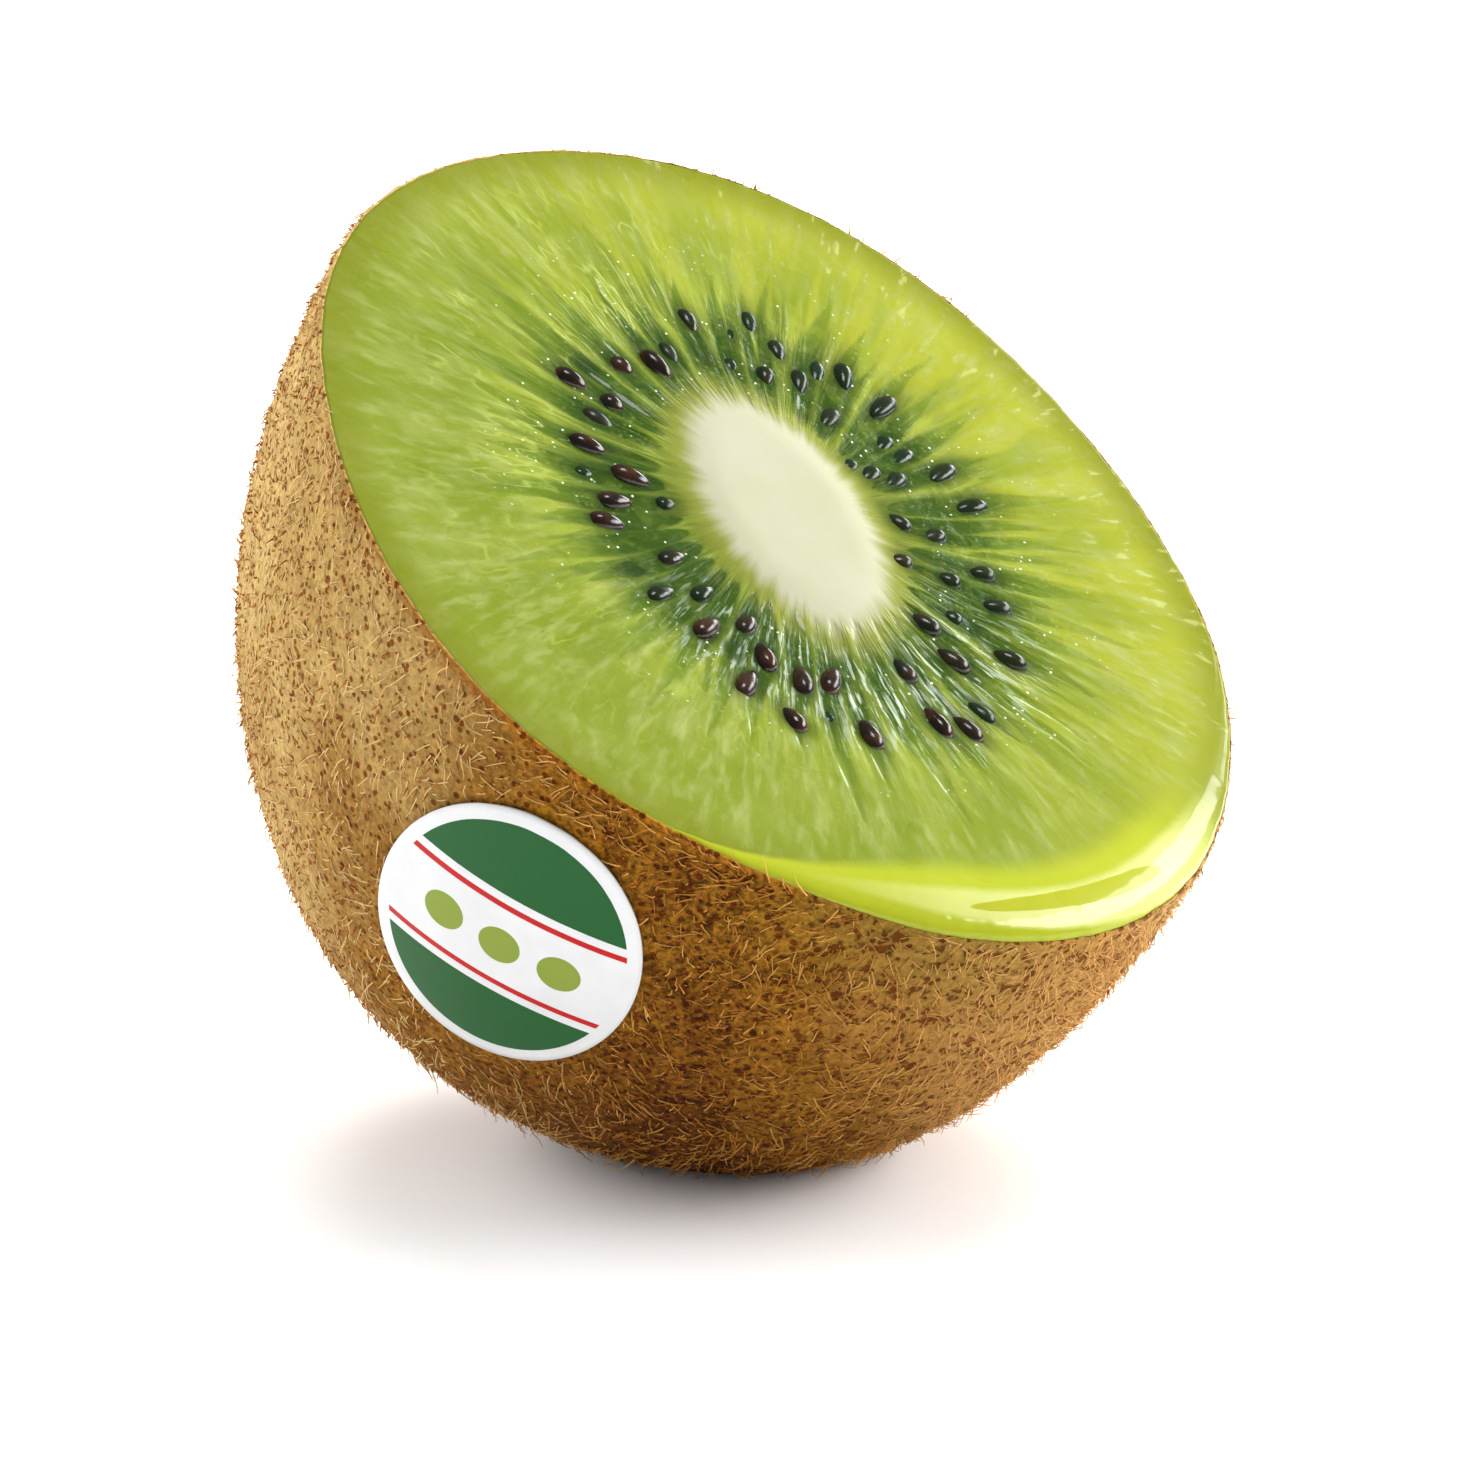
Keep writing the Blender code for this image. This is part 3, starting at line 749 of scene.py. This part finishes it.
def makeSeeds(material):
    around, steps = seedLook["around"], seedLook["steps"]
    allPoints, allFaces, depths = [], [], []
    base = 0
    for place, heading, length, deep in allSeeds:
        if deep >= seedLook["buried"]:
            continue
        points = [(-1.0, 0.0, 0.0)]
        for step in range(1, steps):
            lean = math.pi * step / steps
            for i in range(around):
                turn = turnFull * i / around
                points.append((-math.cos(lean), math.sin(lean) * math.cos(turn),
                               math.sin(lean) * math.sin(turn)))
        points.append((1.0, 0.0, 0.0))
        points = np.array(points)
        taper = 1.0 + seedLook["taper"] * points[:, 0]
        points = np.column_stack([points[:, 0] * length / 2.0,
                                  points[:, 1] * taper * seedLook["width"],
                                  points[:, 2] * taper * seedLook["thickness"]])
        flat = turnFlat(points[:, :2], math.degrees(heading)) + place
        level = cutRelief(np.array([place]))[0][0] + seedLook["lift"] - seedLook["sink"] * deep
        allPoints.append(np.column_stack([flat, points[:, 2] + level]))
        depths.append(np.full(len(points), deep))
        last = base + len(points) - 1
        low = base + 1 + (steps - 2) * around
        for i in range(around):
            k = (i + 1) % around
            allFaces.append((base, base + 1 + k, base + 1 + i))
            allFaces.append((last, low + i, low + k))
        allFaces += ringFaces(steps - 1, around, base + 1)
        base += len(points)
    return makePiece("kiwiSeeds", toWorld(np.concatenate(allPoints)), allFaces, material,
                     {"deep": np.concatenate(depths)})


kiwiSeeds = makeSeeds(makeSeedMaterial())
print("seeds done:", len(kiwiSeeds.data.polygons), "faces")

# The skin
skinLook = {
    "around": 840,
    "rings": 80,
    "lump": 0.00007,
    "innerDrop": 0.0009,        # how far its inner edge reaches down from the rim
    "lipRise": 0.00002,
    "lidDrop": 0.0012,          # of its closed top, under the flesh
    # from the lit pale to the shaded brown: painted light and shade over the skin's own tones
    "pale": (0.455, 0.315, 0.112),
    "sand": (0.370, 0.200, 0.052),
    "beige": (0.480, 0.320, 0.140),
    "tan": (0.245, 0.106, 0.009),
    "brown": (0.098, 0.026, 0.0015),
    "pore": (0.400, 0.150, 0.040),   # times the colour round it
    "olive": (0.150, 0.105, 0.008),
    "rust": (0.360, 0.135, 0.014),
    "felt": (3300.0, 0.42, 1.45),   # grain of the short felt: scale, darkest, lightest
}


def makeSkinMesh(material):
    around, count = skinLook["around"], skinLook["rings"]
    angle = turnFull * np.arange(around) / around
    rings, depths = [], []
    inset = fleshLook["skinThickness"] / fruitSize["halfShort"]
    rim = skinPoint(angle, np.zeros(around))
    inner = rim.copy()
    inner[:, :2] *= 1.0 - 1.6 * inset
    inner[:, 2] -= skinLook["innerDrop"]
    lip = rim.copy()
    lip[:, :2] *= 1.0 - inset
    lip[:, 2] += skinLook["lipRise"]
    rings += [inner, lip]
    depths += [np.zeros(around), np.zeros(around)]
    for step in range(count):
        share = np.full(around, math.sin(0.5 * math.pi * step / count))
        points = skinPoint(angle, share)
        normal = skinNormal(angle, np.clip(share, 0.004, 0.99))
        lump = latticeNoise(points, 420.0, 11) * 0.6 + latticeNoise(points, 1300.0, 13) * 0.4
        rings.append(points + normal * (skinLook["lump"] * (lump - 0.4))[:, None])
        depths.append(-points[:, 2])
    tip = np.array([[*fruitSize["endShift"], -fruitSize["depth"]]])
    top = np.array([[0.0, 0.0, -skinLook["lidDrop"]]])
    points = toWorld(np.concatenate([*rings, tip, top]))
    points[:, 2] = np.maximum(points[:, 2], 0.0)
    faces = ringFaces(count + 2, around)
    low = (count + 1) * around
    end, lid = len(points) - 2, len(points) - 1
    for i in range(around):
        k = (i + 1) % around
        faces.append((low + i, low + k, end))
        faces.append((k, i, lid))
    faces = [tuple(reversed(face)) for face in faces]
    depth = np.concatenate([*depths, [fruitSize["depth"], 0.0]])
    angles = np.concatenate([np.tile(angle, count + 2), [0.0, 0.0]])
    marks = {"rimDepth": depth, "rolled": rollShare(angles)}
    return makePiece("fuzzySkin", points, faces, material, marks)


def makeSkinMaterial():
    material, net, shader = newMaterial("kiwiSkin")
    look = skinLook
    place = net.place()
    right, back, height = net.split(place)
    depth = net.mark("rimDepth")
    wide = mottle(net, place, 90.0, 3.0, 0.36, 0.66)
    patch = mottle(net, place, 520.0, 4.0, 0.36, 0.66)
    grain = net.noise(place, 2800.0, 4.0, 0.65)
    # painted light and shade, partly the skin's own tone: pale to the left as the camera sees it,
    # brown to the right and towards the floor
    left = net.minus(net.times(back, 30.0), net.times(right, 28.0))
    light = net.plus(left, net.line(height, 14.0, -0.30))
    # painted light from the right: paler again towards the far right
    light = net.math("MAXIMUM", light, net.line(left, -2.6, -0.20))
    light = net.shaken(light, wide, 0.3)
    colour = net.mix(net.ramp(light, -0.45, 0.35), look["brown"], look["tan"])
    pale = net.mix(net.ramp(left, -0.3, 0.4), look["sand"], look["pale"])
    colour = net.mix(net.ramp(light, 0.30, 1.05), colour, pale)
    # painted light: pale beige at the far right edge
    colour = net.mix(net.ramp(left, -0.75, -0.98, 0.0, 0.6), colour, look["beige"])
    colour = net.mix(net.where(patch, (light, 0.9, 0.0, 0.15, 0.5)), colour, look["brown"])
    # olive where the green shows through just under the rim
    nearRim = net.where((depth, 0.0080, 0.0006), net.mark("rolled"), (left, -0.75, -0.45), 0.6)
    colour = net.mix(nearRim, colour, look["olive"])
    rust = net.where((net.shaken(depth, grain, 0.0012), 0.0009, 0.0001, 0.0, 0.65),
                     (height, 0.038, 0.028, 0.1, 1.0), (left, -0.5, -0.1))
    colour = net.mix(rust, colour, look["rust"])
    # pores: small dark red-brown pits
    close = net.shaken(net.cells(place, 2000.0), net.noise(place, 900.0, 2.0), -0.6)
    tuft = net.where((net.noise(place, 1500.0, 3.0, 0.6), 0.54, 0.66), (left, 0.5, 0.0))
    pit = net.math("MAXIMUM", net.ramp(close, 0.32, 0.22), tuft)
    colour = net.mix(net.times(pit, 0.9), colour, look["pore"], "MULTIPLY")
    scale, darkest, lightest = look["felt"]
    felt = net.ramp(net.noise(place, scale, 4.0, 0.65), 0.34, 0.66, darkest, lightest)
    colour = net.mix(net.ramp(light, 0.0, 0.8, 1.0, 0.38), colour, felt, "MULTIPLY")
    pits = net.where(pit, (left, 0.5, 0.0, 0.3, 1.2))
    net.bump(shader, net.minus(net.plus(grain, patch), pits), 0.8, 0.00020)
    net.fill(shader, {
        "Base Color": colour, "Roughness": net.ramp(grain, 0.3, 0.7, 0.7, 0.95),
        "Specular IOR Level": 0.04, "Sheen Weight": 0.04, "Sheen Roughness": 0.45,
        "Sheen Tint": (0.95, 0.72, 0.40)})
    return material


fuzzySkin = makeSkinMesh(makeSkinMaterial())
print("skin done:", len(fuzzySkin.data.polygons), "faces")

# The sticker: plain oval paper with bands and dots
labelLook = {
    "place": (-0.0212, -0.0113, -0.0097),  # on the skin, in the frame of the cut
    "half": (0.0065, 0.0081),
    "shift": (-0.0001, -0.0013),
    "lift": 0.00030,            # its face over the skin
    "thickness": 0.00012,
    "around": 128,
    "steps": 24,
    "artTurn": -8.0,            # degrees that the bands lean
    "paper": (0.64, 0.645, 0.65),
    "paperShade": (0.60, 0.605, 0.61),
    "darkGreen": (0.006, 0.080, 0.014),
    "lightGreen": (0.195, 0.262, 0.032),
    "red": (0.42, 0.004, 0.004),
    "rimShare": 0.90,           # where the white edge starts
    "capStart": 3.1,            # mm from the middle line
    "lineStart": 2.45,
    "lineHalf": 0.17,
    "dotRadius": 1.05,
    "dotGap": 3.0,
    "dotReach": 4.5,
}


def labelFrame():
    # nearest place on the skin to the sticker's middle, and the ways along the skin there
    angle = np.linspace(0.0, turnFull, 721)[:-1]
    share = np.linspace(0.02, 0.95, 300)
    gridAngle, gridShare = np.meshgrid(angle, share)
    points = skinPoint(gridAngle, gridShare)
    miss = np.linalg.norm(points - np.array(labelLook["place"]), axis=-1)
    row, column = np.unravel_index(np.argmin(miss), miss.shape)
    spot = (np.array([angle[column]]), np.array([share[row]]))
    centre, outward = skinPoint(*spot)[0], skinNormal(*spot)[0]
    up = np.array([0.0, 0.0, 1.0])
    up = up - outward * (up @ outward)
    up = up / np.linalg.norm(up)
    return centre, outward, up, np.cross(up, outward), spot


def slideToSkin(points, outward, spot):
    # moves points along the outward way until they lie on the skin
    angle = np.full(len(points), spot[0][0])
    share = np.full(len(points), spot[1][0])
    small = 0.002
    for _ in range(14):
        here = skinPoint(angle, share)
        normal = skinNormal(angle, share)
        step = np.sum((here - points) * normal, axis=1) / (normal @ outward)
        miss = points + outward * step[:, None] - here
        side = (skinPoint(angle + small, share) - here) / small
        down = (skinPoint(angle, share + small) - here) / small
        angle = angle + np.sum(miss * side, axis=1) / np.sum(side * side, axis=1)
        share = share + np.sum(miss * down, axis=1) / np.sum(down * down, axis=1)
        share = np.clip(share, 0.001, 0.98)
    return skinPoint(angle, share), skinNormal(angle, share)


def makeLabelMesh(material):
    around, steps = labelLook["around"], labelLook["steps"]
    centre, outward, up, side, spot = labelFrame()
    turn = turnFull * np.arange(around) / around
    reach = np.arange(1, steps + 1) / steps
    right = labelLook["half"][0] * np.outer(reach, np.cos(turn)).ravel()
    high = labelLook["half"][1] * np.outer(reach, np.sin(turn)).ravel()
    right = np.concatenate([[0.0], right])
    high = np.concatenate([[0.0], high])
    start = (centre + np.outer(right + labelLook["shift"][0], side) +
             np.outer(high + labelLook["shift"][1], up))
    base, normal = slideToSkin(start, outward, spot)
    face = base + normal * labelLook["lift"]
    back = base + normal * (labelLook["lift"] - labelLook["thickness"])
    points = toWorld(np.concatenate([face, back]))
    half = len(face)
    faces = []
    for quad in ringFaces(steps, around, 1):
        faces.append(quad)
        faces.append(tuple(corner + half for corner in reversed(quad)))
    edge = 1 + (steps - 1) * around
    for i in range(around):
        k = (i + 1) % around
        faces.append((0, 1 + k, 1 + i))
        faces.append((half, half + 1 + i, half + 1 + k))
        faces.append((edge + i, edge + k, half + edge + k, half + edge + i))
    faces = [face if len(face) == 4 else tuple(reversed(face)) for face in faces]
    art = turnFlat(np.column_stack([right, high]), labelLook["artTurn"]) * 1000.0
    oval = np.concatenate([[0.0], np.repeat(reach, around)])
    art = np.column_stack([art, oval])
    return makePiece("ovalSticker", points, faces, material,
                     {"art": np.concatenate([art, art])})


def makeLabelMaterial():
    material, net, shader = newMaterial("stickerPaper")
    look = labelLook
    right, high, oval = net.split(net.mark("art", "Vector"))
    paper = mottle(net, net.place(), 400.0, 3.0, 0.3, 0.7)
    colour = net.mix(paper, look["paper"], look["paperShade"])
    tall = net.math("ABSOLUTE", high)
    inside = net.math("LESS_THAN", oval, look["rimShare"])
    caps = net.times(net.math("GREATER_THAN", tall, look["capStart"]), inside)
    colour = net.mix(caps, colour, look["darkGreen"])
    line = net.math("COMPARE", tall, look["lineStart"], look["lineHalf"])
    colour = net.mix(net.times(line, inside), colour, look["red"])
    # three plain dots in the middle band
    aside = net.math("PINGPONG", right, 0.5 * look["dotGap"])
    away = net.math("SQRT", net.plus(net.times(aside, aside), net.times(high, high)))
    dots = net.times(net.math("LESS_THAN", away, look["dotRadius"]),
                     net.math("LESS_THAN", net.math("ABSOLUTE", right), look["dotReach"]))
    colour = net.mix(dots, colour, look["lightGreen"])
    net.fill(shader, {"Base Color": colour, "Roughness": 0.40, "Specular IOR Level": 0.15,
                      "Coat Weight": 0.08, "Coat Roughness": 0.15})
    return material


ovalSticker = makeLabelMesh(makeLabelMaterial())
print("sticker done")

# Fuzz: four kinds of hair from one tree of Geometry Nodes
fuzzSizes = ("Density", "Length", "Radius", "Lean", "Sag", "Curl", "Swerve")
fuzzCounts = ("Count", "Seed")
fuzzLook = {
    "paleHair": (2.4e6, 0.00105, 0.000044, 76.0, 0.26, 0.00026, 0.9, 4, 3),
    "goldHair": (2.4e6, 0.00085, 0.000040, 78.0, 0.26, 0.00022, 1.2, 4, 8),
    "stubble": (1.5e6, 0.00011, 0.000088, 26.0, 0.10, 0.00006, 3.0, 3, 14),
    "tuftHair": (0.5e6, 0.00045, 0.000062, 66.0, 0.15, 0.00012, 0.7, 3, 23),
}
# light and dark colour of each kind, and how thick it grows from right to left
hairLook = {
    "paleHair": ((0.68, 0.385, 0.100), (0.38, 0.145, 0.016), (1.0, 0.50)),
    "goldHair": ((0.52, 0.235, 0.036), (0.24, 0.069, 0.004), (1.0, 0.30)),
    "stubble": ((0.46, 0.160, 0.040), (0.30, 0.085, 0.018), (0.15, 1.0)),
    "tuftHair": ((0.40, 0.155, 0.032), (0.25, 0.076, 0.013), (0.4, 1.0)),
}
hairLitPale = (0.64, 0.450, 0.190)  # painted light on the long hair at the far left and right
hairLitSand = (0.56, 0.310, 0.098)  # and painted light on it between the front and the far right


def makeFuzzTree():
    net, entry, leave = makeGroup(
        "fuzz", {"Geometry": "Geometry", **dict.fromkeys(fuzzSizes, "Float"),
                 **dict.fromkeys(fuzzCounts, "Int"), "Hair": "Material"},
        {"Geometry": "Geometry"}, "GeometryNodeTree")

    def randomValue(low, high, offset):
        seed = net.plus(entry["Seed"], offset)
        return net.node("FunctionNodeRandomValue", {2: low, 3: high, "Seed": seed},
                        data_type="FLOAT").outputs[1]

    def readMark(name, kind):
        return net.add("GeometryNodeInputNamedAttribute", {"Name": name}, data_type=kind)

    def storeMark(geometry, name, kind, value):
        return net.add("GeometryNodeStoreNamedAttribute",
                       {"Geometry": geometry, "Name": name, "Value": value},
                       data_type=kind, domain="INSTANCE")

    position = net.add("GeometryNodeInputPosition")
    density = net.times(entry["Density"], readMark("fuzzShare", "FLOAT"))
    scatter = net.node("GeometryNodeDistributePointsOnFaces",
                       {"Mesh": entry["Geometry"], "Density": density,
                        "Seed": entry["Seed"]}).outputs
    strand = net.add("GeometryNodeCurvePrimitiveLine", {"End": (0.0, 0.0, 1.0)})
    strand = net.add("GeometryNodeResampleCurve", {"Curve": strand, "Count": entry["Count"]})

    lean = net.math("RADIANS", net.times(entry["Lean"], randomValue(0.55, 1.2, 1)))
    heading = net.times(net.noise(position, 120.0, 1.0), 4.0 * math.pi)
    swerve = net.times(randomValue(-1.0, 1.0, 2), entry["Swerve"])
    spin = net.add("ShaderNodeCombineXYZ", {"X": lean, "Z": net.plus(heading, swerve)})
    turned = net.add("FunctionNodeRotateRotation", scatter["Rotation"],
                     net.add("FunctionNodeEulerToRotation", spin), rotation_space="LOCAL")
    size = net.times(entry["Length"], randomValue(0.45, 1.35, 3))
    hair = net.add("GeometryNodeInstanceOnPoints",
                   {"Points": scatter["Points"], "Instance": strand, "Rotation": turned,
                    "Scale": size})
    hair = storeMark(hair, "tone", "FLOAT", randomValue(0.0, 1.0, 4))
    straight = net.add("FunctionNodeRotateVector",
                       {"Vector": (0.0, 0.0, 1.0), "Rotation": scatter["Rotation"]})
    hair = storeMark(hair, "outward", "FLOAT_VECTOR", straight)
    hair = net.add("GeometryNodeRealizeInstances", hair)

    # bend each hair back towards the skin and let it wander
    along = net.node("GeometryNodeSplineParameter").outputs["Factor"]
    wander = net.vector("SUBTRACT", {0: net.noise(position, 900.0, 1.0, output="Color"),
                                     1: (0.5, 0.5, 0.5)})
    swing = net.vector("SCALE", {0: wander, "Scale": net.times(along, 4.0, entry["Curl"])})
    fall = net.times(net.times(along, along), net.times(entry["Sag"], entry["Length"]))
    sag = net.vector("SCALE", {0: readMark("outward", "FLOAT_VECTOR"),
                               "Scale": net.times(fall, -1.0)})
    hair = net.add("GeometryNodeSetPosition",
                   {"Geometry": hair, "Offset": net.vector("ADD", {0: swing, 1: sag})})

    # no hair goes into the floor
    right, back, height = net.split(position)
    lifted = net.add("ShaderNodeCombineXYZ", right, back, net.math("MAXIMUM", height, 0.00004))
    hair = net.add("GeometryNodeSetPosition", {"Geometry": hair, "Position": lifted})

    # three-sided tubes that thin out towards the tip
    thin = net.times(entry["Radius"], net.line(along, -0.72, 1.0))
    hair = net.add("GeometryNodeSetCurveRadius", {"Curve": hair, "Radius": thin})
    profile = net.add("GeometryNodeCurvePrimitiveCircle", {"Resolution": 3, "Radius": 1.0})
    hair = net.add("GeometryNodeCurveToMesh",
                   {"Curve": hair, "Profile Curve": profile, "Fill Caps": True,
                    "Scale": net.add("GeometryNodeInputRadius")})
    hair = net.add("GeometryNodeRealizeInstances", hair)
    hair = net.add("GeometryNodeSetMaterial", {"Geometry": hair, "Material": entry["Hair"]})
    net.fill(leave, {"Geometry": hair})
    return net.tree


def makeHairMaterial(name):
    material, net, shader = newMaterial(name + "Fibre")
    place = net.place()
    right, back = net.split(place)[:2]
    tone = net.mark("tone")
    pale, dark = hairLook[name][:2]
    colour = net.mix(tone, dark, pale)
    patch = mottle(net, place, 160.0, 2.0, 0.3, 0.7)
    colour = net.mix(net.times(patch, 0.35), colour, dark)
    if name in ("paleHair", "goldHair"):
        # painted light: the long hair paler towards the far right and at both far edges
        left = net.minus(back, right)
        colour = net.mix(net.ramp(left, -0.006, -0.020, 0.0, 0.80), colour, hairLitSand)
        ends = net.plus(net.ramp(left, 0.004, 0.022, 0.0, 0.85),
                        net.ramp(left, -0.025, -0.033, 0.0, 0.50))
        colour = net.mix(ends, colour, hairLitPale)
    net.fill(shader, {"Base Color": colour, "Specular IOR Level": 0.08,
                      "Roughness": net.ramp(tone, 0.0, 1.0, 0.65, 0.45)})
    return material


groundLook = {
    "around": 240,
    "rings": 80,
    "margin": 0.0002,           # bare skin round the sticker
    "bareBelow": 0.0003,        # height over the floor
    "rimGrowth": 0.7,           # how much thicker the hair grows at the rim
    "rimReach": 0.0018,         # depth where that ends
    "rimFade": 0.0010,
    "sideFade": 0.040,          # width of the change from right to left
}


def makeFuzzGround():
    # a plain copy of the skin that the hairs grow from, bare under the sticker
    look = groundLook
    around, count = look["around"], look["rings"]
    angle = turnFull * np.arange(around) / around
    shares = [np.sin(0.5 * np.pi * (step + 0.1) / (count + 0.1)) for step in range(count)]
    flat = np.concatenate([skinPoint(angle, np.full(around, share)) for share in shares])
    points = toWorld(flat)
    centre, outward, up, side, _ = labelFrame()
    delta = flat - centre
    wide, tall = np.array(labelLook["half"]) + look["margin"]
    under = np.hypot((delta @ side - labelLook["shift"][0]) / wide,
                     (delta @ up - labelLook["shift"][1]) / tall) < 1.0
    bare = (under & (delta @ outward > -0.006)) | (points[:, 2] < look["bareBelow"])
    faces = [tuple(reversed(quad)) for quad in ringFaces(count, around)]
    nearRim = smoothStep((look["rimReach"] + flat[:, 2]) / look["rimFade"])
    grows = np.where(bare, 0.0, 1.0 + look["rimGrowth"] * nearRim)
    ground = makePiece("fuzzGround", points, faces, marks={"fuzzShare": grows})
    leftShare = smoothStep(0.5 + (points[:, 1] - points[:, 0]) / look["sideFade"])
    return ground, grows, leftShare


def growFuzz(name, tree, material):
    ground, grows, leftShare = fuzzGround
    thick = grows * mixPair(hairLook[name][2], leftShare)
    ground.data.attributes["fuzzShare"].data.foreach_set("value", thick.astype(np.float32))
    modifier = ground.modifiers.new("fuzz", "NODES")
    modifier.node_group = tree
    sockets = {item.name: item.identifier for item in tree.interface.items_tree
               if item.item_type == "SOCKET" and item.in_out == "INPUT"}
    for size, value in zip(fuzzSizes + fuzzCounts, fuzzLook[name]):
        modifier[sockets[size]] = value
    modifier[sockets["Hair"]] = material
    bpy.context.view_layer.update()
    graph = bpy.context.evaluated_depsgraph_get()
    data = bpy.data.meshes.new_from_object(ground.evaluated_get(graph))
    data.name = name
    ground.modifiers.remove(modifier)
    print(name, "done:", sum(len(face.vertices) - 2 for face in data.polygons), "triangles")
    return addObject(name, data)


fuzzTree = makeFuzzTree()
fuzzGround = makeFuzzGround()
fuzzPieces = [growFuzz(name, fuzzTree, makeHairMaterial(name)) for name in fuzzLook]
bpy.data.objects.remove(fuzzGround[0], do_unlink=True)

# Floor, light and camera
floorLook = {"half": 3.0, "colour": (0.95, 0.95, 0.95)}


def makeFloor():
    material, net, shader = newMaterial("paleFloor")
    net.fill(shader, {"Base Color": floorLook["colour"], "Roughness": 0.9,
                      "Specular IOR Level": 0.1})
    half = floorLook["half"]
    points = np.array([[-half, -half, 0.0], [half, -half, 0.0], [half, half, 0.0],
                       [-half, half, 0.0]])
    makePiece("studioFloor", points, [(0, 1, 2, 3)], material)


lightAim = (0.0, 0.0, 0.025)
lightLook = {
    # azimuth and elevation in degrees, distance, width, height, power, and what it reaches
    "topBox": (116.0, 62.0, 0.70, 0.66, 0.66, 7.6, "diffuse"),
    "leftBox": (-160.0, 22.0, 0.50, 0.40, 0.35, 2.6, "diffuse"),
    "rightBox": (66.0, 14.0, 0.34, 0.34, 0.16, 2.5, "diffuse"),
    "edgeWindow": (56.0, 26.0, 0.30, 0.20, 0.08, 0.6, "gloss"),
    "glint": (96.0, 20.0, 0.50, 0.26, 0.08, 0.5, "gloss"),
    "highGlint": (40.0, 74.0, 0.60, 0.16, 0.16, 1.2, "gloss"),
}


def wayTo(azimuth, elevation):
    turn, rise = math.radians(azimuth), math.radians(elevation)
    return Vector((math.sin(turn) * math.cos(rise), -math.cos(turn) * math.cos(rise),
                   math.sin(rise)))


def makeLight(name, azimuth, elevation, distance, width, height, power, reach):
    data = bpy.data.lights.new(name, "AREA")
    data.shape = "RECTANGLE"
    data.size, data.size_y = width, height
    data.energy = power
    light = addObject(name, data)
    back = wayTo(azimuth, elevation)
    light.location = Vector(lightAim) + back * distance
    light.rotation_mode = "QUATERNION"
    light.rotation_quaternion = (-back).to_track_quat("-Z", "Y")
    light.visible_camera = False
    light.visible_diffuse = reach != "gloss"
    light.visible_glossy = reach != "diffuse"


cameraLook = {
    "azimuth": -46.67,
    "elevation": 14.0,
    "distance": 0.350,
    "aside": -0.00209,          # of the view's middle from the middle of the cut
    "above": -0.00987,
    "lens": 180.6,
    "sensor": 36.0,
}


def makeCamera():
    turn = math.radians(cameraLook["azimuth"])
    back = wayTo(cameraLook["azimuth"], cameraLook["elevation"])
    right = Vector((math.cos(turn), math.sin(turn), 0.0))
    up = back.cross(right)
    middle = (Vector(fruitSize["cutMiddle"]) + back * cameraLook["distance"] +
              right * cameraLook["aside"] + up * cameraLook["above"])
    data = bpy.data.cameras.new("camera")
    data.lens, data.sensor_width = cameraLook["lens"], cameraLook["sensor"]
    data.clip_start, data.clip_end = 0.01, 20.0
    camera = addObject("camera", data)
    facing = Matrix((right, up, back)).transposed().to_4x4()
    camera.matrix_world = Matrix.Translation(middle) @ facing
    bpy.context.scene.camera = camera


def makeWorld():
    # white all round, but dimmer in reflections so that the wet flesh keeps its depth
    world = bpy.data.worlds.new("studio")
    world.use_nodes = True
    net = Net(world.node_tree)
    seen = net.node("ShaderNodeLightPath").outputs["Is Glossy Ray"]
    net.fill(world.node_tree.nodes["Background"],
             {"Color": (1.0, 1.0, 1.0), "Strength": net.line(seen, -0.50, 0.68)})
    bpy.context.scene.world = world


makeFloor()
makeWorld()
for lightName, values in lightLook.items():
    makeLight(lightName, *values)
makeCamera()
bpy.context.scene.view_settings.view_transform = "Standard"
print("stage done")

for piece in (cutFlesh, kiwiSeeds, fuzzySkin, *fuzzPieces):
    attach(piece, "root")
    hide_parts("kiwi_half")
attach(ovalSticker, "root")
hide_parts("fruit_label")

print("pieces ready")
